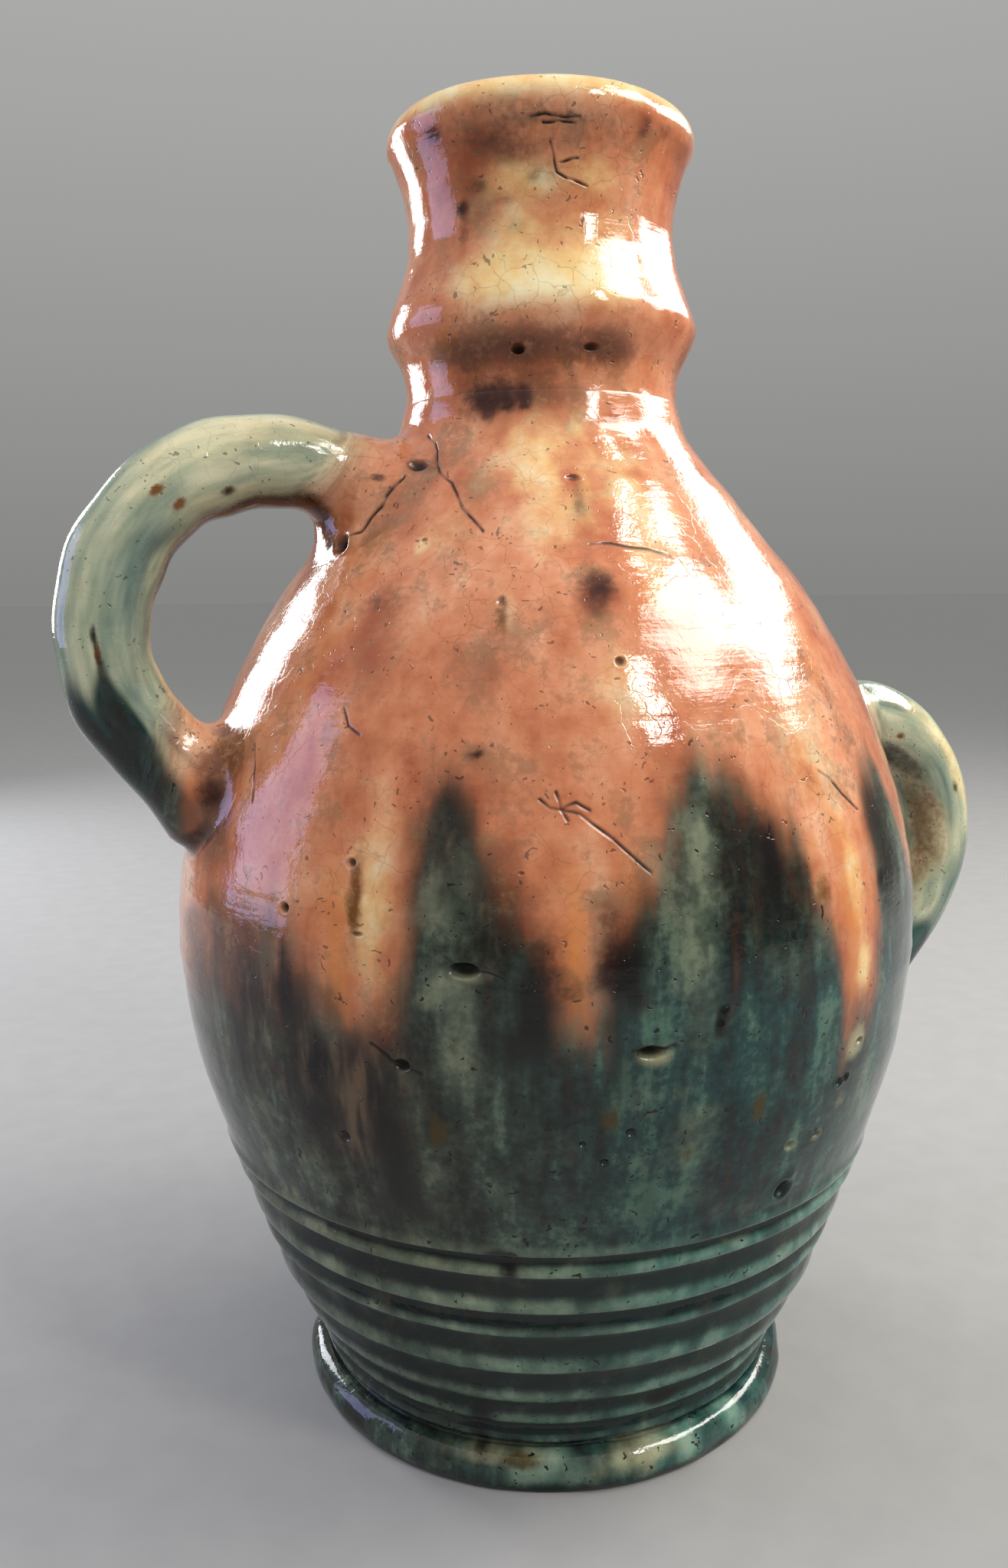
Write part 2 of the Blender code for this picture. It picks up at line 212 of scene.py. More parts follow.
# Firing cracks, each a line of (turn, height) points, and their sizes in mm
CRACKS = (
    ((-45, 210), (-39, 208.2), (-36, 206.4), (-33.5, 203.8), (-30, 201.5), (-25, 199.6), (-22.2, 197.4),
     (-19.4, 194.4), (-16, 192.4), (-12.8, 190)),
    ((-41, 200.6), (-42.4, 197.4), (-43, 195.4), (-45.4, 192.6), (-47, 190.2), (-51, 188.2)),
    ((10, 187.6), (14.6, 187.5), (18.2, 187), (23, 186.4), (27.6, 185.3)),
    ((-0.4, 144.9), (1, 143.4), (2.5, 143), (4.8, 142.4), (8.8, 138.4), (13.4, 132.6)),
    ((1.6, 146.2), (2.3, 144.2), (2.5, 143), (3.2, 141.4)), ((2.5, 143), (4.4, 144.2), (6, 143)),
    ((4, 262.4), (5.2, 259.6), (6.6, 257.4), (10.4, 256.4), (18.6, 255.3)),
    ((7.6, 259.2), (11, 259.6), (14.6, 259.9)), ((-3, 266.3), (2, 266.8), (8, 266.5), (14.4, 266.4)),
    ((1, 265.6), (6, 265.9), (12.6, 265.5)), ((-13, 120.1), (-11.4, 118.6), (-10, 117.2)),
    ((-8, 116.6), (-6.4, 116.5), (-4.8, 115.8)),
    ((-21.6, 102.4), (-19.6, 100.6), (-18.2, 98.8), (-16.4, 98.6), (-15, 97.8)),
    ((10.6, 103.1), (12, 102.6), (14.2, 102.8), (16, 103.3)),
    ((43, 146.4), (45, 144.9), (47.6, 141.4), (50.5, 138.2)), ((-31, 158.6), (-29.5, 155.9), (-27, 154.4)),
    ((-49.5, 150.6), (-47.6, 147.6), (-46.4, 143.8), (-45.6, 141)),
    ((140, 188), (146, 184), (149, 178), (157, 172)), ((-142, 152), (-136, 149), (-131, 141)),
)
CRACK_HALF_WIDTH = 0.22
CRACK_DEPTH = 0.35
CRACK_RIM = 0.02
CRACK_STAIN = 0.28
CRACK_REACH = 1.6

# Upper edge of the copper green glaze as (turn, height), closed round the back
GREEN_EDGE = (
    (-180, 128), (-172, 146), (-165, 124), (-158, 118), (-150, 136), (-144, 150), (-137, 126), (-128, 117),
    (-118, 131), (-110, 122), (-100, 112), (-92, 108), (-82, 112), (-70, 108), (-62, 106), (-55, 112),
    (-48, 118), (-42, 122), (-38, 121), (-35, 120), (-33, 120), (-30, 119), (-27, 110), (-24, 109),
    (-21, 109), (-19, 112), (-17.4, 124), (-16.4, 148), (-14.8, 158), (-12.4, 153), (-9, 146), (-5, 136),
    (-2, 127), (2, 117), (4.2, 103), (5.6, 104), (7, 121), (8.6, 135), (11, 132), (13.5, 127), (15, 140),
    (17, 155), (21, 158), (25, 154), (28, 146), (31, 148), (33, 146), (35, 137), (39, 127), (42, 116),
    (45, 104), (48, 100), (50.5, 114), (52, 140), (54, 150), (58, 152), (62, 147), (68, 126), (76, 118),
    (84, 134), (92, 142), (100, 124), (108, 114), (118, 122), (127, 140), (134, 147), (141, 128),
    (150, 116), (160, 120), (168, 138), (175, 141),
)

# How the green's edge is blurred sideways: (degrees aside, share)
EDGE_BLUR = ((-3.6, 0.08), (-2.4, 0.14), (-1.2, 0.18), (0.0, 0.2), (1.2, 0.18), (2.4, 0.14), (3.6, 0.08))

# Brown stain in the hollow under the neck ring, and the veil under the lip, which is thicker glaze and
# painted shade under the lip's roll: (height, half height)
NECK_STAIN = (225.2, 3.2)
LIP_VEIL_AND_SHADE = (265.0, 3.6)

# Each table of runs holds (turn, height, half width, half length, strength), with the sizes in mm

# Iron-black and brown runs
DARK_RUNS = (
    (-19, 217, 7, 4, 0.6), (-11, 216.5, 3, 3, 0.5), (-23, 216.5, 1.8, 2.4, 0.95), (-18.4, 215, 1.9, 2.8, 1),
    (-13, 215.8, 1.4, 2.4, 0.9), (-6.6, 216, 1.5, 2.2, 1), (-30, 219.5, 6, 4, 0.45),
    (-42, 266, 3, 1.8, 0.85), (-26, 264, 5, 2.4, 0.45), (-10, 265.4, 4, 2, 0.45), (7, 266.4, 6, 1.4, 0.45),
    (40.5, 267, 1.8, 2.2, 0.7), (52, 267, 2.4, 1.8, 0.5), (-18, 262, 5, 3, 0.4), (-6, 261, 4, 2.4, 0.45),
    (3, 258, 4, 1.6, 0.35), (28, 264, 5, 2.4, 0.35), (-32.5, 252.6, 1.6, 1.6, 0.9), (-31, 247, 1.3, 5, 0.5),
    (-25, 256, 2.6, 1.6, 0.55), (-14, 253, 2.4, 1.2, 0.5), (-9, 248, 2.4, 1.8, 0.4),
    (-3, 256.4, 1.6, 1, 0.5), (10.6, 179, 3.4, 3.4, 0.95), (9, 187, 2.4, 5, 0.3), (9.4, 197, 1.4, 4, 0.5),
    (-31, 177.4, 3.6, 3, 0.5), (-39.6, 203.4, 4, 1.8, 0.6), (-9, 152.2, 1.1, 0.7, 0.9),
    (-15.6, 151, 1.6, 5, 0.35), (-12, 141, 3.2, 6, 0.35), (-7.5, 131, 2.6, 5, 0.3),
    (-0.8, 112, 4.4, 11, 0.85), (-3, 103, 5, 5, 0.6), (9.4, 117, 4.4, 8, 0.85), (8.8, 101, 2.6, 9, 0.5),
    (30.6, 132, 2.4, 11, 0.9), (28.6, 122, 2, 7, 0.5), (-34.6, 111, 1.5, 9, 1), (-29.6, 99, 1.8, 7, 0.95),
    (-31, 86.4, 4.2, 4.6, 0.8), (-45.4, 95, 1.4, 9, 0.7), (-54, 83, 3.4, 5, 0.4), (-19.5, 78, 4.6, 16, 0.8),
    (-13.6, 92, 1.3, 7, 0.4), (-22, 91, 2, 7, 0.6), (-26, 97, 1.6, 7, 0.5), (-6, 60.8, 3.6, 1.8, 1),
    (-5.2, 56.8, 1.5, 3, 0.9), (18.6, 44, 1.2, 1.6, 0.4), (26, 17.4, 4.6, 1.9, 0.95),
    (-13.6, 17, 3, 4.6, 0.85), (-14, 9, 2, 3, 0.8), (12, 24, 1, 1.2, 0.7), (54, 137, 4, 8, 0.65),
    (53.5, 124.6, 2.6, 2, 0.85), (47, 102, 1.2, 3.6, 0.5), (45, 88.6, 2.4, 1.2, 0.6),
    (14, 72, 2.4, 9, 0.35), (22.4, 108, 1.5, 1.6, 0.9), (21.9, 105.4, 1.3, 1.6, 0.9),
    (26.6, 140.4, 1.6, 0.9, 0.7), (36, 70, 3, 3, 0.5), (-1.6, 92, 1.6, 5, 0.5), (17, 93, 1.2, 6, 0.35),
    (78, 120, 5, 12, 0.6), (96, 132, 4, 9, 0.7), (134, 134, 4, 12, 0.8), (150, 104, 4, 12, 0.6),
    (170, 126, 4, 11, 0.7), (-172, 132, 4, 12, 0.8), (-144, 138, 4, 11, 0.8), (-118, 120, 5, 11, 0.6),
    (-96, 96, 4, 12, 0.5), (160, 216, 6, 4, 0.7), (-150, 219, 7, 4, 0.6), (-110, 265, 6, 1.6, 0.6),
    (130, 266, 7, 1.6, 0.6), (-160, 190, 4, 5, 0.4), (120, 180, 5, 7, 0.4), (-100, 176, 5, 8, 0.35),
)

# Brown veils of thicker glaze, and one painted shadow of the left handle beside its lower root: the run at
# turn -54 and height 137
BROWN_AND_SHADOW_RUNS = (
    (-46, 114, 16, 10, 0.8), (-34, 104, 8, 9, 0.8), (-58, 108, 9, 12, 0.7), (-21, 101, 7, 9, 0.8),
    (-26, 88, 12, 14, 0.75), (-44, 96, 10, 9, 0.5), (-18, 112, 2.4, 8, 0.5), (-5, 128, 5, 9, 0.75),
    (-12, 140, 6, 10, 0.6), (1.5, 119, 3, 8, 0.6), (9, 122, 5, 9, 0.6), (-54, 137, 5, 11, 0.75),
    (-30, 258, 6, 7, 0.55), (-12, 261, 7, 2.6, 0.35), (12, 263, 10, 2.6, 0.35), (-36, 244, 4, 6, 0.4),
    (38, 253, 7, 9, 0.3), (-21, 250, 4, 4, 0.45), (4, 252.6, 5, 1.6, 0.35), (12, 256, 4, 2, 0.35),
    (-38, 194, 6, 12, 0.45), (-30, 204, 7, 5, 0.45), (-14, 199, 6, 5, 0.45), (-28, 170, 6, 12, 0.45),
    (-8, 167, 7, 10, 0.55), (-20, 182, 6, 8, 0.3), (9, 176, 6, 7, 0.45), (-3, 217, 7, 4, 0.6),
    (9, 216, 5, 2.6, 0.4), (-6, 225, 14, 4, 0.8), (20, 225.6, 9, 3.4, 0.65), (-2, 149, 7, 8, 0.3),
    (12, 138, 6, 8, 0.35), (-30, 142, 4, 12, 0.35), (36, 146, 3, 9, 0.3), (52, 150, 3, 9, 0.4),
    (47, 167, 4, 8, 0.55), (54, 160, 4, 7, 0.5), (28, 160, 4, 6, 0.25), (-48, 158, 6, 10, 0.35),
    (-52, 148, 5, 6, 0.5), (9, 206, 3, 5, 0.35), (-45, 216, 6, 3, 0.5), (-2, 219, 6, 3, 0.45),
    (20, 218, 9, 3, 0.25), (33, 206, 2, 6, 0.3), (120, 190, 9, 12, 0.35), (-150, 206, 12, 8, 0.4),
    (160, 130, 9, 14, 0.5), (-125, 120, 10, 14, 0.6), (90, 110, 10, 12, 0.5), (-175, 252, 12, 8, 0.4),
    (110, 256, 9, 8, 0.4), (-110, 250, 9, 8, 0.4),
)

# Pale grey-green clouds in the copper green; those below 7 mm, on the foot's roll, are also painted
# highlight
PALE_AND_HIGHLIGHT_RUNS = (
    (-10.5, 113, 5, 5, 0.75), (-11, 125, 3.5, 6, 0.55), (-10, 101, 5, 8, 0.45), (-14, 130, 2.4, 9, 0.5),
    (-10, 134, 4, 8, 0.4), (19.5, 120, 5, 20, 0.45), (20, 142, 3, 7, 0.6), (19, 84, 6, 9, 0.4),
    (33.5, 112, 4, 5, 0.4), (38, 120, 3, 5, 0.55), (50, 84, 4, 12, 0.4), (50, 106, 3, 5, 0.7),
    (-43, 80, 8, 8, 0.45), (-33, 73, 6, 5, 0.45), (-51, 100, 5, 8, 0.4), (-14, 74, 4, 8, 0.25),
    (30, 58.5, 4, 2.2, 0.8), (30, 66, 3, 3, 0.4), (22, 48, 5, 1.6, 0.45), (22, 5, 10, 3, 0.9),
    (30, 6, 5, 2, 0.6), (1, 5, 5, 2, 0.45), (70, 96, 9, 12, 0.5), (120, 92, 10, 14, 0.5),
    (-160, 96, 10, 14, 0.6), (-80, 92, 9, 12, 0.5), (-110, 100, 8, 12, 0.4), (150, 80, 10, 12, 0.5),
    (130, 130, 6, 12, 0.5), (-146, 124, 6, 12, 0.5),
)

# Olive drips below some of the pits
OLIVE_RUNS = (
    (-24, 127, 1.3, 6, 0.8), (-13.3, 87, 1.2, 3.8, 0.9), (8.2, 90.4, 1.3, 2.8, 0.9),
    (28.6, 88.8, 1.4, 2.8, 0.9), (18.3, 81.6, 1.1, 2, 0.8), (-6.8, 174.4, 1.1, 3.2, 0.55),
    (43.4, 163.6, 1.1, 4, 0.8), (-22.5, 82, 1, 2.6, 0.7), (-42, 86, 1, 3, 0.5), (39, 126.4, 2.4, 3, 0.6),
    (-17, 83, 0.9, 3, 0.6), (32, 104, 1, 2.2, 0.5), (-4, 57.6, 3, 0.9, 0.4), (18.5, 8.4, 1.8, 3, 0.4),
    (-6, 6.6, 5, 1.3, 0.75), (150, 88, 1.4, 4, 0.8), (-125, 96, 1.4, 5, 0.8), (104, 92, 1.3, 4, 0.7),
)

# Where the glaze is thin and creamy; the runs round 238 mm on the top of the neck ring are also painted
# light where light falls on it, and those below 7 mm on the foot's roll are painted highlight
CREAM_AND_LIGHT_RUNS = (
    (2, 238.5, 16, 5.5, 0.95), (24, 239.5, 8, 5, 0.8), (-16, 238.5, 7, 5, 0.75), (-8, 247.5, 6, 4, 0.65),
    (-7, 256, 7, 4, 0.6), (22, 257, 6, 4, 0.5), (14, 248, 6, 4, 0.45), (30, 248, 6, 4, 0.35),
    (-1, 205, 9, 7, 0.55), (2, 193, 6, 8, 0.45), (-22, 190, 5, 5, 0.25), (24, 194, 7, 16, 0.45),
    (12, 163, 5, 7, 0.35), (42, 150, 6, 12, 0.35), (22, 6.2, 8, 1.8, 0.55), (-12, 6.8, 7, 1.4, 0.45),
    (46.6, 95, 2.6, 3, 0.7), (45, 84, 1.6, 1.6, 0.4), (13.4, 101.8, 2.8, 1.6, 0.75),
    (-8.8, 115.8, 3, 1.6, 0.5), (38.4, 127, 1.8, 3, 0.4), (35.6, 78.2, 1.5, 1.2, 0.5),
    (41, 78.2, 1.5, 1.2, 0.5), (-26.5, 187.6, 1.4, 1.6, 0.4), (-6, 176, 2, 3, 0.3),
    (-41, 64.6, 1.6, 1.2, 0.4), (-21.5, 128, 4, 14, 0.55), (46, 126, 2.4, 12, 0.5), (47, 110, 2.2, 8, 0.6),
    (-3, 7.2, 4, 0.7, 0.45), (140, 238, 12, 6, 0.7), (-120, 239, 12, 6, 0.6), (-165, 95, 3.4, 3, 0.5),
    (172, 95.4, 3, 2, 0.7), (115, 196, 8, 12, 0.35), (-150, 200, 9, 9, 0.35),
)

# Orange tan streaks between the tongues
ORANGE_RUNS = (
    (-26.5, 113, 2.2, 13, 0.9), (-17.6, 116, 1.2, 4, 0.4), (3.9, 120, 2, 13, 0.8), (11.6, 129, 2, 6, 0.5),
    (44.6, 120, 2.6, 18, 0.7), (38.2, 134, 1.2, 1.4, 0.6), (19.6, 181, 3, 6, 0.4), (-28, 128, 2, 8, 0.4),
    (50, 166, 5, 6, 0.5), (26, 167, 4, 6, 0.35), (160, 130, 3, 12, 0.7), (-130, 122, 3, 12, 0.7),
)

# Runs on the handles, with painted shade and painted highlight among them: (along mm, around degrees, half
# length mm, half angle, cover, strength)
SHOULDER_SPOTS = (
    (74, -172, 24, 26, "blue", 0.75), (86, -150, 20, 30, "blue", 0.6), (60, 0, 40, 60, "blue", 0.5),
    (106, 130, 15, 34, "green", 1), (99, 165, 9, 18, "green", 0.85), (114, 100, 12, 50, "green", 0.9),
    # The dark spots at along 27 and 56, at about -110 round the roll, are painted shade under the arch, and
    # the cream at along 40 on its upper outer side is pale glaze with painted highlight
    (105, 128, 12, 24, "dark", 0.7), (93, 168, 8, 8, "dark", 0.6), (27, -110, 20, 26, "dark", 0.85),
    (56, -104, 28, 24, "dark", 0.8), (62, -118, 30, 16, "blue", 0.8), (85, 164, 2.6, 5, "dark", 0.95),
    (88, 166, 3, 5, "olive", 0.8), (44, -150, 2.2, 7, "dark", 0.8), (55, -163, 1.8, 6, "olive", 0.9),
    (56.5, 168, 1.4, 5, "olive", 0.9), (14, 178, 1.8, 6, "dark", 0.8), (40, 140, 26, 34, "cream", 0.35),
    (97, -104, 12, 16, "cream", 0.6), (119, -150, 3, 34, "brown", 0.8), (121, 172, 3, 16, "dark", 0.75),
    (118, -120, 3, 12, "dark", 0.6), (124.5, 118, 2.6, 30, "dark", 0.85), (126, 150, 2.4, 20, "brown", 0.7),
    (8, -130, 4, 30, "brown", 0.6),
)
SIDE_SPOTS = (
    (52, 150, 18, 20, "cream", 0.6), (78, -130, 22, 40, "cream", 0.35), (74, -128, 28, 30, "olive", 0.45),
    # The dark spot at along 42, at -130 round the roll, is painted shade inside the loop
    (42, -130, 16, 28, "dark", 0.7), (90, 150, 18, 34, "blue", 0.9), (112, 150, 16, 60, "green", 1),
    (126, -150, 16, 60, "green", 0.8), (80, 60, 22, 60, "blue", 0.6), (60, 170, 1.6, 6, "dark", 0.7),
    (36, -165, 1.8, 6, "olive", 0.8),
)


def linear(code):
    """Linear colour of an sRGB hex value."""
    parts = [int(code[start:start + 2], 16) / 255 for start in (1, 3, 5)]
    curve = [part / 12.92 if part <= 0.04045 else ((part + 0.055) / 1.055) ** 2.4 for part in parts]
    return (*curve, 1.0)


def smooth_curve(stations, places):
    """Smooth curve through (place, value) stations, read at many places."""
    at = np.array([station[0] for station in stations], float)
    value = np.array([station[1] for station in stations], float)
    ends = np.arange(len(at))
    low = np.maximum(ends - 1, 0)
    high = np.minimum(ends + 1, len(at) - 1)
    slope = (value[high] - value[low]) / (at[high] - at[low])
    index = np.clip(np.searchsorted(at, places, side="left") - 1, 0, len(at) - 2)
    span = at[index + 1] - at[index]
    t = (places - at[index]) / span
    bend = slope[index] * span * (t ** 3 - 2 * t ** 2 + t) + slope[index + 1] * span * (t ** 3 - t ** 2)
    return value[index] * (2 * t ** 3 - 3 * t ** 2 + 1) + value[index + 1] * (3 * t ** 2 - 2 * t ** 3) + bend


def part_way(low, high, value):
    """How far a value has come from low to high, from 0 to 1; high may be the lower of the two."""
    return np.clip((value - low) / (high - low), 0.0, 1.0)


def ease(t):
    """Half a cosine wave, rising from 0 to 1 as t does."""
    return 0.5 - 0.5 * np.cos(np.pi * t)


def smoothstep(low, high, value):
    """0 below low, 1 above high and smooth between; high may be the lower of the two."""
    t = part_way(low, high, value)
    return t * t * (3 - 2 * t)


def hump(value, middle, half_width):
    """A soft hump, 1 at its middle and falling away to both sides."""
    return np.exp(-((value - middle) / half_width) ** 2)


def wrapped(turn):
    """A turn in degrees, brought to between -180 and 180."""
    return (turn + 180.0) % 360.0 - 180.0


def together(*covers):
    """One cover made of several that lie over each other."""
    bare = 1.0
    for cover in covers:
        bare = bare * (1.0 - cover)
    return 1.0 - bare


def waves(turn, height, rounds, span, count, seed):
    """Slow unevenness of a hand-thrown surface, about 1 in size; span is in mm of height."""
    draw = np.random.default_rng(seed)
    total = np.zeros_like(turn)
    for _ in range(count):
        around = draw.integers(0, rounds + 1)
        upward = draw.uniform(-2.0, 2.0) * np.pi / span
        start = draw.uniform(0.0, 2 * np.pi)
        total = total + np.sin(around * np.radians(turn) + upward * height + start)
    return total * (2.0 / count) ** 0.5


def wall_radius(height):
    """Outer radius of the thrown wall in metres at heights in metres, from the foot up to the lip."""
    swell = smooth_curve(LOWER_WALL_SHAPE, part_way(FOOT_RING_HEIGHT, BELLY_HEIGHT, height))
    lower = FOOT_CREASE_RADIUS + swell * (BELLY_RADIUS - FOOT_CREASE_RADIUS)
    fall = smooth_curve(UPPER_WALL_SHAPE, part_way(BELLY_HEIGHT, WAIST_HEIGHT, height))
    upper = BELLY_RADIUS + fall * (WAIST_RADIUS - BELLY_RADIUS)
    widening = ease(part_way(WAIST_HEIGHT, NECK_RING_HEIGHT, height) ** NECK_RING_UNDERCUT)
    ring = WAIST_RADIUS + (NECK_RING_RADIUS - WAIST_RADIUS) * widening
    narrowing = ease(part_way(NECK_RING_HEIGHT, THROAT_HEIGHT, height) ** NECK_RING_SHARPNESS)
    throat = NECK_RING_RADIUS + (THROAT_RADIUS - NECK_RING_RADIUS) * narrowing
    flaring = part_way(THROAT_HEIGHT, FLARE_HEIGHT, height) ** 2
    flare = THROAT_RADIUS + (FLARE_RADIUS - THROAT_RADIUS) * flaring
    zones = [height <= top for top in (BELLY_HEIGHT, WAIST_HEIGHT, NECK_RING_HEIGHT, THROAT_HEIGHT)]
    return np.select(zones, [lower, upper, ring, throat], flare)


def ribs(height):
    """The turned ribs: how far they stand in from the plain wall in mm, how hollow and how proud.
    Each is a saw tooth: hollow at its top, swelling down to a crest, and cut back under a ledge.
    The glaze has drained further on the top rib."""
    inset = hollow = crest = np.zeros_like(height)
    for top, end in zip(GROOVES, GROOVES[1:] + (LAST_RIB_END,)):
        t = (top - height) / (top - end)
        inside = (t >= 0.0) & (t <= 1.0)
        drained = t + 0.2 if top == GROOVES[0] else t
        ledge = 1.0 - LEDGE_EDGE / (top - end)
        swell = smoothstep(0.02, ledge * 0.92, t)
        undercut = smoothstep(1.0, ledge, t)
        inset = np.where(inside, GROOVE_DEPTH - (GROOVE_DEPTH + LEDGE_SWELL) * swell * undercut, inset)
        hollow = np.where(inside, 1.0 - smoothstep(0.28, 0.60, drained) * undercut, hollow)
        crest = np.where(inside, smoothstep(0.40, 0.70, drained) * smoothstep(1.0, ledge + 0.08, t), crest)
    step = GROOVES[0]
    above = height > step
    start = smoothstep(step + 1.2, step, height)
    lip = smoothstep(step, step + 1.2, height) * smoothstep(step + 4.0, step + 1.6, height)
    inset = np.where(above, GROOVE_DEPTH * start - LEDGE_SWELL * lip, inset)
    hollow = np.where(above, start, hollow)
    crest = np.where(above, 0.45 * lip, crest)
    return inset, hollow, crest


class Places:
    """A set of places on the wall, by turn in degrees and height in mm. It finds those near a mark."""

    def __init__(self, turn, height):
        self.turn = turn
        self.height = height
        self.girth = wall_radius(height * MM) / MM

    def near_spot(self, turn, height, half_width, half_height, reach):
        """Indexes of the places near a spot, and how far off each is in the spot's half sizes."""
        rise = (self.height - height) / half_height
        index = np.flatnonzero(np.abs(rise) < reach)
        across = np.radians(wrapped(self.turn[index] - turn)) * self.girth[index] / half_width
        close = np.abs(across) < reach
        index = index[close]
        return index, np.hypot(across[close], rise[index])

    def near_line(self, line, reach):
        """Indexes of the places near a line of (turn, height) points, and how far off each is in mm."""
        turns, heights = np.array(line, float).T
        near = (self.turn > turns.min() - 8.0) & (self.turn < turns.max() + 8.0)
        near &= (self.height > heights.min() - reach) & (self.height < heights.max() + reach)
        index = np.flatnonzero(near)
        girth = self.girth[index]
        best = np.full(len(index), np.inf)
        jag = 0.11 * waves(self.turn[index] * girth / 80.0, self.height[index], 90, 4.0, 14, 81)
        for (first_turn, first_height), (second_turn, second_height) in zip(line, line[1:]):
            x = np.radians(self.turn[index] - first_turn) * girth + jag
            y = self.height[index] - first_height - jag
            run = np.radians(second_turn - first_turn) * girth
            rise = second_height - first_height
            share = np.clip((x * run + y * rise) / (run ** 2 + rise ** 2), 0.0, 1.0)
            best = np.minimum(best, np.hypot(x - share * run, y - share * rise))
        close = best < reach
        return index[close], best[close]

    def gaping(self, index):
        """How far a crack has opened at some of the places, from hairline to full width."""
        return np.clip(0.90 + 0.3 * waves(self.turn[index], self.height[index], 70, 3.5, 12, 82), 0.45, 1.0)


def thrown_skin(turn, height):
    """How far the thrown wall lies out from its plain profile in mm: ribs, throwing rings and wobble."""
    inset, hollow = ribs(height)[:2]
    wander = 0.16 * waves(turn, height, 5, 60.0, 10, 3) + 0.05 * waves(turn, height, 14, 16.0, 14, 4)
    throwing = 0.05 * np.sin(2 * np.pi * height / 7.3 + 0.02 * turn + 1.4 * np.sin(height / 19.0))
    lift = -inset + np.clip(wander, -0.3, 0.22) + throwing * smoothstep(70.0, 150.0, height)
    return lift + 0.05 * waves(turn, height, 40, 6.0, 18, 9) * (0.3 + hollow)


def marks(places):
    """Pits, lumps and cracks at places on the wall, in mm out from the thrown skin."""
    lift = np.zeros_like(places.turn)
    for turn, height, half_width, half_height, depth in PITS:
        index, away = places.near_spot(turn, height, half_width, half_height, MARK_REACH)
        lift[index] += PIT_RIM * hump(away, 1.5, 0.35) - depth * np.exp(-away ** 4)
    for turn, height, half_width, rise in LUMPS:
        index, away = places.near_spot(turn, height, half_width, half_width, MARK_REACH)
        lift[index] += rise * hump(away, 0.0, 1.0)
    for line in CRACKS:
        index, away = places.near_line(line, CRACK_REACH)
        cut = CRACK_RIM * hump(away, 0.6, 0.25) - CRACK_DEPTH * hump(away, 0.0, CRACK_HALF_WIDTH)
        lift[index] += cut * places.gaping(index)
    return lift


def stained_marks(places):
    """Dark cover in the pits and along the cracks."""
    stain = np.zeros_like(places.turn)
    for turn, height, half_width, half_height, depth in PITS:
        index, away = places.near_spot(turn, height, half_width, half_height, MARK_REACH)
        stain[index] = np.maximum(stain[index], np.exp(-away ** 4) * min(depth, 1.0))
    for line in CRACKS:
        index, away = places.near_line(line, CRACK_REACH)
        stain[index] = np.maximum(stain[index], hump(away, 0.0, CRACK_STAIN) * places.gaping(index))
    return stain


def runs(places, table):
    """Cover of soft-edged runs of glaze at places on the wall, from 0 to 1."""
    bare = np.ones_like(places.turn)
    ragged = 0.14 * waves(places.turn, places.height, 50, 9.0, 20, 21)
    ragged = 1.0 + ragged * smoothstep(232.0, 205.0, places.height)
    for turn, height, half_width, half_height, strength in table:
        index, away = places.near_spot(turn, height, half_width, half_height, 2.2)
        bare[index] *= 1.0 - strength * smoothstep(1.7, 0.2, away * ragged[index])
    return 1.0 - bare


def tongues(turn, height):
    """Cover of the copper green glaze with its tongues, and how brown it burnt along its edge."""
    edge_turns, edge_heights = np.array(GREEN_EDGE + ((180.0, GREEN_EDGE[0][1]),), float).T
    drips = 2.2 * waves(turn, height, 45, 60.0, 16, 31) + 1.2 * waves(turn, height, 110, 40.0, 20, 32)
    soft = 5.0 + 9.0 * smoothstep(-18.0, -34.0, turn) * smoothstep(-90.0, -60.0, turn)
    green = np.zeros_like(turn)
    for aside, share in EDGE_BLUR:
        below = np.interp(wrapped(turn + aside), edge_turns, edge_heights) + drips - height
        green += share * smoothstep(-soft, 7.0 + soft, below)
    below = np.interp(turn, edge_turns, edge_heights) - height
    burnt = smoothstep(-4.0, 4.0, below) * smoothstep(20.0, 5.0, below)
    return green, burnt * (0.10 + 0.16 * np.clip(waves(turn, height, 24, 200.0, 12, 33), -1.0, 1.0))


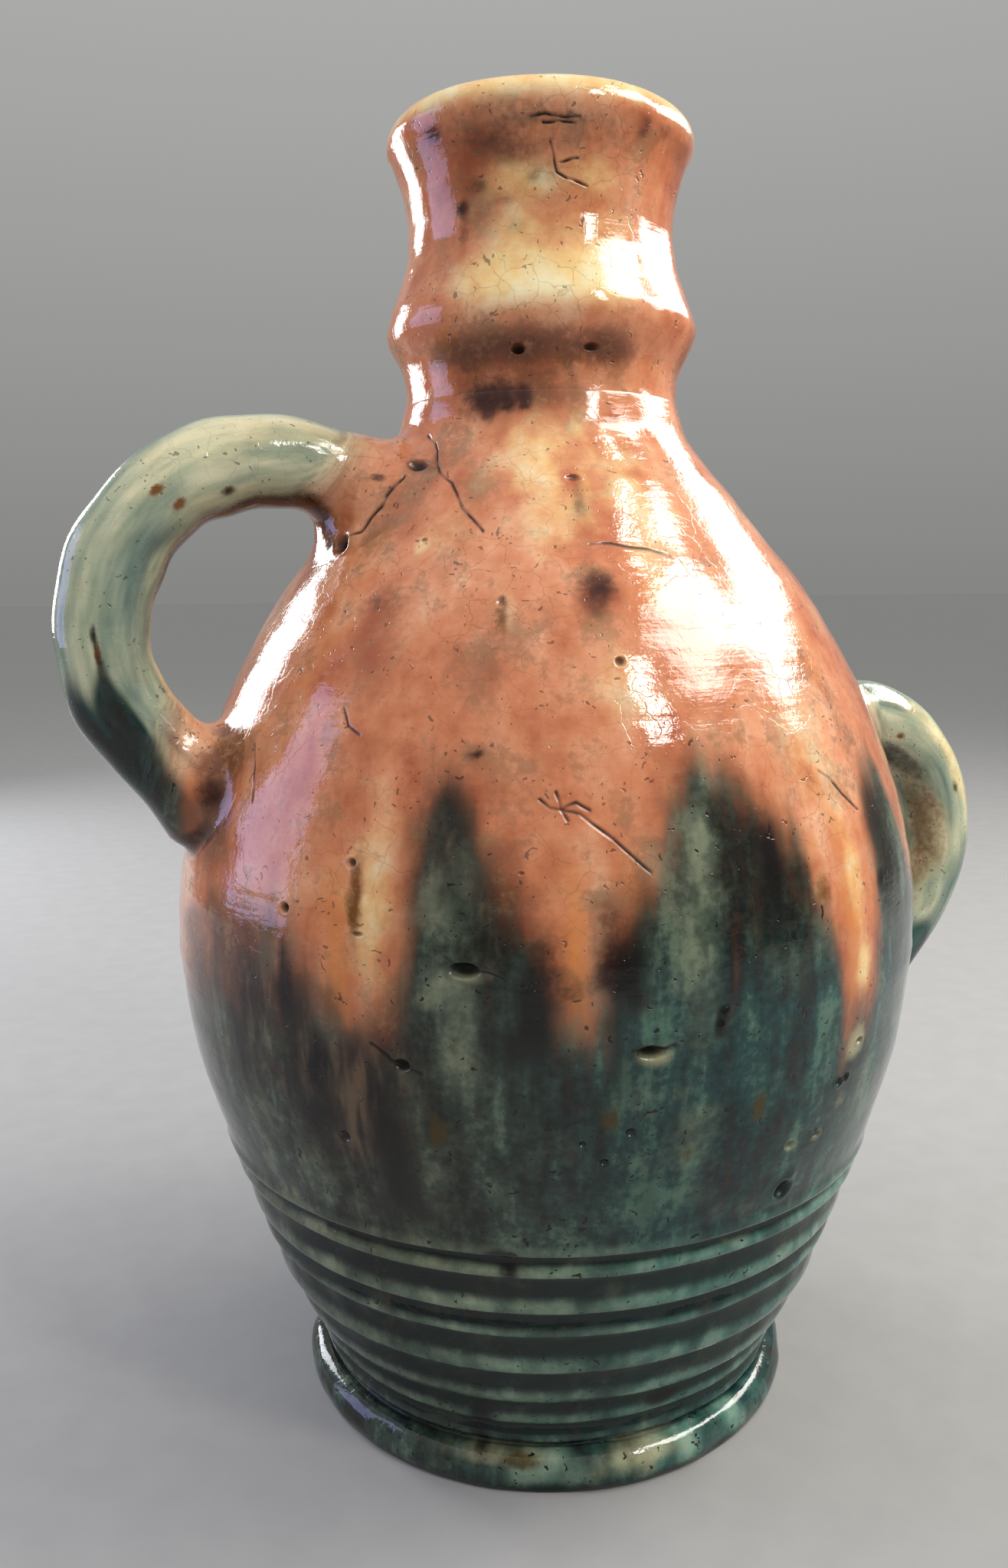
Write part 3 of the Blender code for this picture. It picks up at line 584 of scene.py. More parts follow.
def paint(places):
    """The glaze's run at places on the wall: its covers by name, each from 0 to 1."""
    turn, height = places.turn, places.height
    green, burnt = tongues(turn, height)
    front = smoothstep(-58.0, -30.0, turn) * smoothstep(48.0, 26.0, turn)
    uneven = 0.5 + 0.3 * np.clip(waves(turn, height, 9, 50.0, 8, 34), -1.0, 1.0)
    stained = hump(height, *NECK_STAIN) * np.maximum(0.9 * front, 0.5 * uneven)
    # Darker under the lip: thicker glaze, and painted shade under the lip's roll
    veil_and_shade = np.clip(0.30 * hump(height, *LIP_VEIL_AND_SHADE) * (0.7 + uneven), 0.0, 0.8)

    # Made up in the same manner where the photograph doesn't reach
    far = smoothstep(58.0, 90.0, np.abs(turn))
    far_brown = 0.6 * far * np.clip(waves(turn, height, 14, 70.0, 14, 36), 0.0, 1.0)
    far_cream = 0.5 * far * np.clip(waves(turn, height, 10, 60.0, 12, 37) - 0.3, 0.0, 1.0)
    cream = np.maximum(runs(places, CREAM_AND_LIGHT_RUNS), far_cream * smoothstep(140.0, 180.0, height))
    cream = np.maximum(cream, smoothstep(268.0, 272.5, height) * 0.75)

    hollow, crest = ribs(height)[1:]
    patchy = 0.75 + 0.14 * waves(turn, height, 16, 60.0, 14, 41)
    patchy = patchy + 0.05 * waves(turn, height, 40, 12.0, 16, 42)
    crest = crest * np.clip(patchy, 0.2, 1.0) * (0.40 + 0.60 * smoothstep(-55.0, 10.0, turn))
    crest = crest * smoothstep(6.0, 16.0, height) * (1.0 + 0.35 * smoothstep(38.0, 50.0, height))
    teal = smoothstep(-20.0, 26.0, turn) * smoothstep(150.0, 80.0, turn) * smoothstep(132.0, 104.0, height)
    foot_teal = 0.75 * smoothstep(62.0, 40.0, height) * (0.35 + 0.65 * smoothstep(-40.0, 20.0, turn))
    return {
        "green": green,
        "dark": together(runs(places, DARK_RUNS), burnt, 0.4 * stained),
        "cream": cream,
        "olive": runs(places, OLIVE_RUNS),
        "pit": stained_marks(places),
        "hollow": hollow * smoothstep(62.0, 60.0, height),
        "orange": runs(places, ORANGE_RUNS),
        "teal": np.maximum(teal, foot_teal),
        "crest": crest,
        "brown": together(runs(places, BROWN_AND_SHADOW_RUNS), veil_and_shade, stained, far_brown),
        "pale": runs(places, PALE_AND_HIGHLIGHT_RUNS),
    }


def about_axis(turn, height, radius):
    """Points in metres at turns in degrees, heights in mm and radii in metres."""
    angle = np.radians(turn + FRONT)
    return np.stack([radius * np.cos(angle), radius * np.sin(angle), height * MM], axis=-1)


def place(turn, height, out):
    """Points at places on the wall, moved out from it by so many mm, square to the axis."""
    return about_axis(turn, height, wall_radius(height * MM) + out * MM)


def add(tree, kind, inputs=(), out=0, **settings):
    """Add a node with its settings, fill or link its inputs, and return one of its outputs.
    A colour may be given as a hex value."""
    made = tree.nodes.new("ShaderNode" + kind)
    for setting, choice in settings.items():
        setattr(made, setting, choice)
    for socket, value in dict(inputs).items():
        if isinstance(value, bpy.types.NodeSocket):
            tree.links.new(value, made.inputs[socket])
        else:
            made.inputs[socket].default_value = linear(value) if isinstance(value, str) else value
    return made.outputs[out] if made.outputs else None


def empty_tree(owner):
    """Node tree of a material or a world, with nothing in it."""
    owner.use_nodes = True
    owner.node_tree.nodes.clear()
    return owner.node_tree


def read_covers(tree):
    """The covers kept on a mesh, each under its name."""
    found = {}
    for label, names in COVER_SETS.items():
        kept = add(tree, "Attribute", attribute_name=label)
        parts = add(tree, "SeparateColor", {0: kept}).node.outputs
        found.update(zip(names, (*parts, kept.node.outputs["Alpha"])))
    return SimpleNamespace(**found)


def mean(tree, *patterns):
    """Mean of several patterns."""
    total = patterns[0]
    for pattern in patterns[1:]:
        total = add(tree, "Math", {0: total, 1: pattern}, operation="ADD")
    return add(tree, "Math", {0: total, 1: 1.0 / len(patterns)}, operation="MULTIPLY")


def tones(tree, patterns, *stops):
    """Colour that follows a pattern, or the mean of several, through (value, hex) stops."""
    value = mean(tree, *patterns) if isinstance(patterns, tuple) else patterns
    colour = add(tree, "ValToRGB", {0: value})
    strip = colour.node.color_ramp
    while len(strip.elements) < len(stops):
        strip.elements.new(1.0)
    for element, (position, code) in zip(strip.elements, stops):
        element.position = position
        element.color = linear(code)
    return colour


def spread(tree, cover, pattern, raggedness, low, high):
    """A cover with its edge broken up by a pattern."""
    centred = add(tree, "Math", {0: pattern, 1: 0.5}, operation="SUBTRACT")
    ragged = add(tree, "Math", {0: centred, 1: raggedness, 2: cover}, operation="MULTIPLY_ADD")
    return add(tree, "MapRange", {0: ragged, 1: low, 2: high}, interpolation_type="SMOOTHSTEP")


def lay(tree, under, over, cover, *edge):
    """Lay one colour over another where a cover says; edge is how the cover is spread, if it is."""
    if edge:
        cover = spread(tree, cover, *edge)
    return add(tree, "Mix", {0: cover, 6: under, 7: over}, 2, data_type="RGBA")


def pinholes(tree, here, scale, share, size):
    """Round holes in a net of cells, in the cells above a share, up to a size in cells."""
    cells = add(tree, "TexVoronoi", {"Vector": here, "Scale": scale})
    pick = add(tree, "SeparateColor", {0: cells.node.outputs["Color"]})
    reach = add(tree, "MapRange", {0: pick, 1: share, 2: 1.0, 3: 0.0, 4: size})
    edge = add(tree, "Math", {0: reach, 1: cells}, operation="SUBTRACT")
    return add(tree, "MapRange", {0: edge, 1: 0.0, 2: 0.03})


def glaze_grain(tree, here):
    """Patterns that the glazes share, each named for how it lies."""
    flow = add(tree, "Attribute", out=1, attribute_name="flow")
    return SimpleNamespace(
        # Streaks that follow the run of the glaze, about 9 mm and 2.5 mm across
        broad=add(tree, "TexNoise", {"Vector": flow, "Scale": 110.0, "Detail": 3.0}),
        fine=add(tree, "TexNoise", {"Vector": flow, "Scale": 400.0, "Detail": 3.0}),
        # Clouds about 25 mm and 8 mm across, and mottling about 1.5 mm across
        cloud=add(tree, "TexNoise", {"Vector": here, "Scale": 40.0, "Detail": 3.0}),
        patch=add(tree, "TexNoise", {"Vector": here, "Scale": 125.0, "Detail": 5.0, "Roughness": 0.6}),
        mottle=add(tree, "TexNoise", {"Vector": here, "Scale": 650.0, "Detail": 4.0, "Roughness": 0.6}),
    )


def tan_glaze(tree, grain, cover):
    """Iron-tinted clear glaze, thin and pink to thick and orange, burnt brown in spots and veils; the brown
    also lays painted shade under the lip and a painted shadow of the left handle beside its lower root.
    """
    spotted = mean(tree, grain.patch, grain.patch, grain.mottle)
    burnt = add(tree, "MapRange", {0: spotted, 1: 0.53, 2: 0.68, 3: 0.0, 4: 0.65})
    tan = tones(tree, (grain.cloud, grain.patch, grain.broad),
                (0.38, "#B5623F"), (0.47, "#D4855C"), (0.54, "#E39C74"), (0.63, "#F3BE98"))
    veil_and_shade = tones(tree, (grain.patch, grain.mottle), (0.40, "#552D1D"), (0.52, "#804C33"), (0.62, "#A8744F"))
    tan = lay(tree, tan, "#96492A", burnt)
    tan = lay(tree, tan, "#E49150", cover.orange)
    return lay(tree, tan, veil_and_shade, cover.brown, spotted, 2.8, 0.05, 1.05)


def copper_green_glaze(tree, grain, cover):
    """Copper green: brown olive on the left, grey green in front and teal on the right, paler
    on the crests of the ribs and almost black in their hollows. On the foot's roll the pale
    crest is partly painted highlight, and the near black under the roll is painted shade."""
    run = mean(tree, grain.broad, grain.broad, grain.patch, grain.mottle, grain.fine)
    warm = tones(tree, run, (0.41, "#11130D"), (0.47, "#262B20"), (0.53, "#39443A"), (0.60, "#626F5B"))
    cool = tones(tree, run, (0.41, "#03181B"), (0.47, "#0D2F2F"), (0.53, "#1A4543"), (0.60, "#447163"))
    green = lay(tree, warm, cool, cover.teal)
    streaked = mean(tree, grain.broad, grain.patch)
    ragged = mean(tree, grain.broad, grain.patch, grain.mottle)
    pale = tones(tree, streaked, (0.40, "#4C5A49"), (0.52, "#707A65"), (0.62, "#999E80"))
    green = lay(tree, green, pale, cover.pale, ragged, 1.2, 0.0, 1.25)
    sunk = tones(tree, (grain.broad, grain.fine), (0.42, "#140C08"), (0.50, "#35231A"), (0.59, "#6A503B"))
    green = lay(tree, green, sunk, cover.brown, ragged, 1.4, 0.0, 1.15)
    warm_crest = tones(tree, streaked, (0.40, "#566350"), (0.50, "#778168"), (0.60, "#9AA080"))
    cool_crest = tones(tree, streaked, (0.40, "#355F57"), (0.50, "#588477"), (0.60, "#84A896"))
    green = lay(tree, green, lay(tree, warm_crest, cool_crest, cover.teal), cover.crest)
    # Near black where the glaze pools in the grooves, and painted shade under the foot's roll and in its
    # tuck
    pooling_and_shade = add(tree, "Math", {0: grain.patch, 1: -0.5, 2: cover.hollow}, operation="MULTIPLY_ADD")
    pooled_and_shaded = add(tree, "MapRange", {0: pooling_and_shade, 1: -0.25, 2: 0.40, 3: 0.0, 4: 0.99})
    return lay(tree, green, lay(tree, "#03100D", "#062724", cover.teal), pooled_and_shaded)


def celadon_glaze(tree, grain, cover):
    """Celadon on the handles, streaked along the pull, with blue where the copper is thick."""
    run = mean(tree, grain.broad, grain.broad, grain.fine, grain.cloud)
    celadon = tones(tree, run, (0.40, "#6A7E72"), (0.47, "#93A48F"), (0.53, "#B4BD9F"), (0.60, "#DADABA"))
    blue = tones(tree, run, (0.40, "#3A575C"), (0.50, "#688178"), (0.60, "#98A590"))
    green = tones(tree, run, (0.40, "#061214"), (0.52, "#15302E"), (0.62, "#345650"))
    celadon = lay(tree, celadon, blue, cover.blue, grain.broad, 1.6, 0.1, 0.9)
    return lay(tree, celadon, green, cover.green, grain.broad, 1.0, 0.15, 0.85)


def glazed_stoneware():
    """Thick glossy lead glaze over red-brown stoneware, dipped tan and then run with copper green.
    To the eye: a wet, slightly rippled shine, colours that melt into each other in vertical
    streaks, green that pools almost black in the grooves and breaks pale on the ribs, a fine net
    of craze lines and a scatter of dark pinholes."""
    material = bpy.data.materials.new("glazed_stoneware")
    tree = empty_tree(material)
    here = add(tree, "TexCoord", out=3)
    cover = read_covers(tree)
    grain = glaze_grain(tree, here)

    # The green's edge breaks along the streaks
    green_cover = spread(tree, cover.green, mean(tree, grain.fine, grain.broad), 0.9, 0.05, 0.95)
    colour = lay(tree, tan_glaze(tree, grain, cover), copper_green_glaze(tree, grain, cover), green_cover)
    colour = lay(tree, colour, celadon_glaze(tree, grain, cover), cover.handle)

    # Cream where the glaze is thin, and as painted light on the top of the neck ring, on the foot's roll and
    # on the upper side of the left handle;
    # olive drips, and iron black with a soft brown halo, which on the inner faces of the handles lays
    # painted shade
    cream = tones(tree, (grain.cloud, grain.patch), (0.40, "#FFC382"), (0.50, "#FFDB94"), (0.60, "#FFF0C0"))
    cream = lay(tree, cream, "#B9B68F", green_cover)
    colour = lay(tree, colour, cream, cover.cream, grain.patch, 0.8, 0.0, 1.0)
    olive = lay(tree, "#7A4A1E", "#443606", green_cover)
    colour = lay(tree, colour, olive, cover.olive, grain.mottle, 0.6, 0.1, 0.8)
    black = lay(tree, lay(tree, "#380F06", "#050302", green_cover), "#17120B", cover.handle)
    ragged = mean(tree, grain.patch, grain.patch, grain.broad, grain.mottle)
    halo = spread(tree, cover.dark, ragged, 1.2, 0.0, 1.0)
    halo = add(tree, "Math", {0: halo, 1: 0.62}, operation="MULTIPLY")
    colour = lay(tree, colour, black, halo)
    colour = lay(tree, colour, black, cover.dark, ragged, 1.8, 0.30, 1.05)

    # Pinholes up to 1.5 mm across, one to the square centimetre, and more specks up to 1.2 mm
    bent = add(tree, "TexNoise", {"Vector": here, "Scale": 260.0, "Detail": 2.0}, 1)
    bent_place = add(tree, "Mix", {0: 0.012, 4: here, 5: bent}, 1, data_type="VECTOR")
    large = pinholes(tree, bent_place, 210.0, 0.25, 0.16)
    small = pinholes(tree, bent_place, 400.0, 0.30, 0.25)
    hole = add(tree, "Math", {0: large, 1: small}, operation="MAXIMUM")
    hole_black = add(tree, "MapRange", {0: green_cover, 3: 0.55, 4: 0.95})
    hole_tint = add(tree, "Math", {0: hole, 1: hole_black}, operation="MULTIPLY")
    colour = lay(tree, colour, "#140A06", hole_tint)

    # Craze lines in a net of about 6 mm, drawn 0.15 mm wide so that they show
    craze_place = add(tree, "Mix", {0: 0.0035, 4: here, 5: bent}, 1, data_type="VECTOR")
    craze = add(tree, "TexVoronoi", {"Vector": craze_place, "Scale": 170.0}, feature="DISTANCE_TO_EDGE")
    line = add(tree, "MapRange", {0: craze, 1: 0.026, 2: 0.0})
    line_fades = add(tree, "MapRange", {0: grain.cloud, 1: 0.40, 2: 0.60, 3: 0.15, 4: 1.0})
    line_seen = add(tree, "Math", {0: line, 1: line_fades}, operation="MULTIPLY")
    line_dark = add(tree, "MapRange", {0: cover.handle, 3: 0.28, 4: 0.16})
    line_tint = add(tree, "Math", {0: line_seen, 1: line_dark}, operation="MULTIPLY")
    colour = lay(tree, colour, "#5A2A14", line_tint)
    colour = lay(tree, colour, "#0C0705", cover.pit)
    colour = lay(tree, colour, "#7A4626", cover.inside)

    # Relief under the shine: craze lines, pinholes, wheel marks, and ripples about 4 mm across
    craze_sink = add(tree, "Math", {0: line_seen, 1: -0.12}, operation="MULTIPLY")
    hole_sink = add(tree, "Math", {0: hole, 1: -0.6, 2: craze_sink}, operation="MULTIPLY_ADD")
    wheel_place = add(tree, "Mapping", {0: here, 3: (1.0, 1.0, 9.0)})
    wheel = add(tree, "TexNoise", {"Vector": wheel_place, "Scale": 55.0, "Detail": 4.0})
    wheel_sink = add(tree, "Math", {0: wheel, 1: 0.85, 2: hole_sink}, operation="MULTIPLY_ADD")
    ripple = add(tree, "TexNoise", {"Vector": here, "Scale": 240.0, "Detail": 4.0, "Roughness": 0.6})
    relief = add(tree, "Math", {0: ripple, 1: 1.0, 2: wheel_sink}, operation="MULTIPLY_ADD")
    bump = add(tree, "Bump", {"Height": relief, "Strength": 0.6, "Distance": 0.0002})

    # Glossy, duller in the pits and a little uneven all over
    worn = add(tree, "MapRange", {0: grain.mottle, 1: 0.40, 2: 0.70, 3: 0.05, 4: 0.13})
    dull = add(tree, "Math", {0: cover.pit, 1: 0.6, 2: worn}, operation="MULTIPLY_ADD")
    shader = add(tree, "BsdfPrincipled", {
        "Base Color": colour, "Roughness": dull, "Normal": bump, "IOR": 1.47, "Metallic": 0.0,
    })
    add(tree, "OutputMaterial", {0: shader})
    return material


def bare_stoneware():
    """Unglazed fired stoneware, wire-cut and rubbed down, on the parts that stand on the shelf.
    To the eye: matt buff clay with grog specks about 0.5 mm across."""
    material = bpy.data.materials.new("bare_stoneware")
    tree = empty_tree(material)
    here = add(tree, "TexCoord", out=3)
    cloud = add(tree, "TexNoise", {"Vector": here, "Scale": 60.0, "Detail": 4.0})
    grog = add(tree, "TexNoise", {"Vector": here, "Scale": 1600.0, "Detail": 3.0})
    speck = add(tree, "MapRange", {0: grog, 1: 0.60, 2: 0.68, 3: 0.0, 4: 0.7})
    clay = lay(tree, tones(tree, cloud, (0.35, "#8C6547"), (0.65, "#B48A66")), "#4E3526", speck)
    bump = add(tree, "Bump", {"Height": grog, "Strength": 0.6, "Distance": 0.0002})
    shader = add(tree, "BsdfPrincipled", {"Base Color": clay, "Roughness": 0.85, "Normal": bump})
    add(tree, "OutputMaterial", {0: shader})
    return material


def pale_paper():
    """Matt studio paper of one colour, with grain about 10 mm across that is too faint to draw the eye."""
    material = bpy.data.materials.new("pale_paper")
    tree = empty_tree(material)
    here = add(tree, "TexCoord", out=3)
    grain = add(tree, "TexNoise", {"Vector": here, "Scale": 90.0, "Detail": 4.0})
    tone = add(tree, "MapRange", {0: grain, 1: 0.3, 2: 0.7, 3: 0.97, 4: 1.03})
    paper = add(tree, "Mix", {0: 1.0, 6: "#9E9E9D", 7: tone}, 2, data_type="RGBA", blend_type="MULTIPLY")
    shader = add(tree, "BsdfPrincipled", {"Base Color": paper, "Roughness": 0.9})
    add(tree, "OutputMaterial", {0: shader})
    return material


def finish_piece(grown, name, points, covers, flow, bare, materials):
    """Make a grown bmesh into a shown, smooth-shaded piece with worked-out points, and keep the
    covers and the flow on it for the glaze to read. Faces that are bare at every corner get the
    second material."""
    bmesh.ops.recalc_face_normals(grown, faces=grown.faces)
    mesh = bpy.data.meshes.new(name)
    grown.to_mesh(mesh)
    grown.free()
    mesh.vertices.foreach_set("co", np.ascontiguousarray(points, np.float32).ravel())
    for label, names in COVER_SETS.items():
        values = np.zeros((len(points), 4), np.float32)
        for channel, cover in enumerate(names):
            values[:, channel] = covers.get(cover, 0.0)
        mesh.attributes.new(label, "FLOAT_COLOR", "POINT").data.foreach_set("color", values.ravel())
    flow = np.ascontiguousarray(flow, np.float32)
    mesh.attributes.new("flow", "FLOAT_VECTOR", "POINT").data.foreach_set("vector", flow.ravel())
    for material in materials:
        mesh.materials.append(material)
    for face in mesh.polygons:
        face.material_index = int(all(bare[corner] for corner in face.vertices))
    mesh.shade_smooth()
    mesh.update()
    piece = bpy.data.objects.new(name, mesh)
    bpy.context.scene.collection.objects.link(piece)
    return piece


def join_rings(mesh, first, second):
    """Band of faces between two rings of corners, either of which may be a single corner."""
    count = max(len(first), len(second))
    for column in range(count):
        following = (column + 1) % count
        corners = ((first, column), (first, following), (second, following), (second, column))
        mesh.faces.new(dict.fromkeys(ring[index % len(ring)] for ring, index in corners))


def turned_mesh(rows, columns):
    """Grid turned round the axis from rows of (height mm, radius mm, kind). Its corners aren't
    placed yet, but keep turn, height, radius and kind."""
    mesh = bmesh.new()
    layers = [mesh.verts.layers.float.new(label) for label in ("turn", "height", "radius", "kind")]
    grid = []
    for row in rows:
        ring = []
        for column in range(1 if row[1] == 0.0 else columns):
            corner = mesh.verts.new((0.0, 0.0, 0.0))
            for layer, value in zip(layers, (-180.0 + 360.0 * column / columns, *row)):
                corner[layer] = value
            ring.append(corner)
        grid.append(ring)
    for first, second in zip(grid, grid[1:]):
        join_rings(mesh, first, second)
    if len(grid[0]) > 1:
        join_rings(mesh, grid[-1], grid[0])
    return mesh, layers


def refine(mesh, layers, guide, share, reach):
    """Split the faces near pits, lumps and cracks, so that these are cut into the surface, where
    the guide layer is above a share. Faces that close the turn at the back are left whole."""
    faces = []
    for face in mesh.faces:
        turns = [corner[layers[0]] for corner in face.verts]
        shown = all(corner[guide] > share for corner in face.verts)
        if shown and len(turns) < 5 and max(turns) - min(turns) < 90.0:
            faces.append(face)
    places = Places(*(
        np.array([sum(corner[layer] for corner in face.verts) / len(face.verts) for face in faces])
        for layer in layers[:2]
    ))
    near = np.zeros(len(faces), bool)
    for turn, height, half_width, half_height, _ in PITS:
        near[places.near_spot(turn, height, half_width + reach, half_height + reach, 1.0)[0]] = True
    for turn, height, half_width, _ in LUMPS:
        near[places.near_spot(turn, height, half_width + reach, half_width + reach, 1.0)[0]] = True
    for line in CRACKS:
        near[places.near_line(line, reach)[0]] = True
    near &= np.abs(places.turn) < BACK_SEAM
    edges = {edge for face, chosen in zip(faces, near) if chosen for edge in face.edges}
    bmesh.ops.subdivide_edges(mesh, edges=list(edges), cuts=1, use_grid_fill=True)


def read_layers(mesh, layers):
    """What each layer holds at every corner, as arrays."""
    mesh.verts.ensure_lookup_table()
    return [np.array([corner[layer] for corner in mesh.verts]) for layer in layers]


def outer_rows(bottom, top, spacing):
    """Rows on the outer wall between two heights in mm; the wall gives their real radius."""
    count = max(int(round((top - bottom) / spacing)), 1)
    return [(height, 1.0, OUTER) for height in np.linspace(bottom, top, count + 1)]


def turned_piece(name, rows, columns, sunk_edge, materials):
    """Closed turned piece with the fired skin on its outer wall, which sinks away at a hidden
    edge from one height in mm to another."""
    mesh, layers = turned_mesh(rows, columns)
    for reach in REFINE_REACHES:
        refine(mesh, layers, layers[3], 0.75, reach)
    turn, height, radius, kind = read_layers(mesh, layers)
    places = Places(turn, height)
    out = thrown_skin(turn, height) + marks(places) - SEAM_SINK * smoothstep(*sunk_edge, height)
    across = (radius + 0.08 * waves(turn, height, 6, 40.0, 8, 51) * (radius > 1.5)) * MM
    points = np.where(kind[:, None] > 0.75, place(turn, height, out), about_axis(turn, height, across))
    covers = paint(places)
    covers["inside"] = (kind < 0.25) * 0.55
    bare = (height < 0.4) & (kind < 0.75)
    return finish_piece(mesh, name, points, covers, points * FLOW_SCALE, bare, materials)


def dress_body(materials):
    """Body from the flat base up to the waist, with its ribs, and hollow inside."""
    base = FOOT_CREASE_RADIUS / MM
    top = WAIST_HEIGHT / MM
    bend = FLOOR_CORNER / MM
    corner = (FLOOR_THICKNESS + FLOOR_CORNER) / MM
    rows = [(0.0, 0.0, INNER), (0.0, base - 0.6, INNER), (3.0, base - 0.2, GLAZED)]
    rows += outer_rows(7.0, RIBBED_TOP, RIB_ROW)
    rows += outer_rows(RIBBED_TOP, top - 0.2, WALL_ROW)[1:]
    inside = np.linspace(top - 0.4, corner, int((top - 0.4 - corner) / INSIDE_ROW))
    radii = (wall_radius(inside * MM) - BODY_WALL) / MM
    rows += [(height, radius, INNER) for height, radius in zip(inside, radii)]
    for angle in np.radians((22.5, 45.0, 67.5, 90.0)):
        rows.append((corner - bend * np.sin(angle), radii[-1] - bend + bend * np.cos(angle), INNER))
    rows.append((FLOOR_THICKNESS / MM, 0.0, INNER))
    piece = turned_piece("body_glazed", rows, BODY_COLUMNS, (top - 2.2, top - 0.2), materials)
    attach(piece, "root")
    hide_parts("body")


def dress_neck(materials):
    """Neck with its ring, throat and rolled lip."""
    bottom = WAIST_HEIGHT / MM - NECK_OVERLAP
    roll = LIP_ROLL / MM
    middle = (LIP_HEIGHT - LIP_ROLL) / MM
    centre = (LIP_RADIUS - LIP_ROLL) / MM
    rows = outer_rows(bottom, FLARE_HEIGHT / MM, NECK_ROW)
    for angle in np.radians(np.arange(LIP_START + 7.0, LIP_END, 7.0)):
        rows.append((middle + roll * np.sin(angle), centre + roll * np.cos(angle), GLAZED))
    stations = (
        rows[-1][:2],
        (THROAT_HEIGHT / MM, (THROAT_RADIUS - NECK_WALL) / MM),
        (NECK_RING_HEIGHT / MM, (WAIST_RADIUS - NECK_WALL + NECK_RING_HOLLOW) / MM),
        (bottom, (WAIST_RADIUS - NECK_WALL) / MM),
    )
    for (top, upper), (end, lower) in zip(stations, stations[1:]):
        for t in np.linspace(0.0, 1.0, 7)[1:]:
            rows.append((top + (end - top) * t, upper + (lower - upper) * ease(t), INNER))
    piece = turned_piece("neck_glazed", rows, NECK_COLUMNS, (bottom + 2.4, bottom + 0.2), materials)
    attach(piece, "root")
    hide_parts("neck")


def dress_foot(materials):
    """Coil round the foot: a soft roll that stands flat."""
    inner = FOOT_CREASE_RADIUS / MM - FOOT_TUCK
    outer = (FOOT_CREASE_RADIUS + FOOT_RING_REACH) / MM
    full = FOOT_RING_FULLEST_HEIGHT / MM
    rise = FOOT_RING_HEIGHT / MM - full
    rows = [(0.0, inner, INNER), (0.0, outer - 1.9, GLAZED)]
    for angle in np.radians(np.arange(-72.0, 1.0, 12.0)):
        reach = outer - FOOT_ROUNDING + FOOT_ROUNDING * np.cos(angle)
        rows.append((full * (1 + np.sin(angle)), reach, GLAZED))
    for angle in np.radians(np.arange(8.0, 91.0, 8.0)):
        reach = inner + FOOT_TUCK + (outer - inner - FOOT_TUCK) * np.cos(angle) ** 0.8
        rows.append((full + rise * np.sin(angle), reach, GLAZED))
    rows.append((FOOT_RING_HEIGHT / MM - 1.4, inner, GLAZED))
    mesh, layers = turned_mesh(rows, BODY_COLUMNS)
    turn, height, radius = read_layers(mesh, layers[:3])
    free = smoothstep(0.0, 1.5, height) * smoothstep(inner + 0.4, inner + 2.0, radius)
    drift = 0.35 * waves(turn, height, 9, 60.0, 8, 61) + 0.12 * waves(turn, height, 30, 8.0, 12, 62)
    points = about_axis(turn, height, (radius + np.clip(drift, -0.6, 0.12) * free) * MM)
    covers = paint(Places(turn, height))
    # Near black where the roll meets the floor and in its tuck under the crease: painted shade, over glaze
    # pooled in the crease
    covers["hollow"] = 0.9 * np.maximum(
        smoothstep(inner + 2.4, inner + 0.6, radius), smoothstep(2.2, 0.4, height))
    # Pale on the upper part of the roll and more so towards the right: pale glaze, with painted highlight
    # where the light falls
    patchy = 0.5 + 0.4 * waves(turn, height, 22, 60.0, 14, 63) + 0.15 * waves(turn, height, 60, 9.0, 16, 64)
    crest = np.clip(patchy, 0.05, 1.0) * smoothstep(1.5, 3.5, height) * smoothstep(-60.0, 25.0, turn)
    covers["crest"] = crest
    piece = finish_piece(mesh, "foot_glazed", points, covers, points * FLOW_SCALE, height < 0.3, materials)
    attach(piece, "root")
    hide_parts("foot_ring")


def handle_line(side, root, shape):
    """Finely spaced centre line of a handle in the XZ plane, with its lengths from the start."""
    rise, out = np.array(shape).T
    knots = np.stack([side * (wall_radius(root + rise) + out), root + rise], axis=-1)
    lengths = np.concatenate([[0.0], np.cumsum(np.hypot(*np.diff(knots, axis=0).T))])
    along = np.linspace(0.0, lengths[-1], 481)
    line = [smooth_curve(list(zip(lengths, places)), along) for places in knots.T]
    return along, np.stack(line, axis=-1)


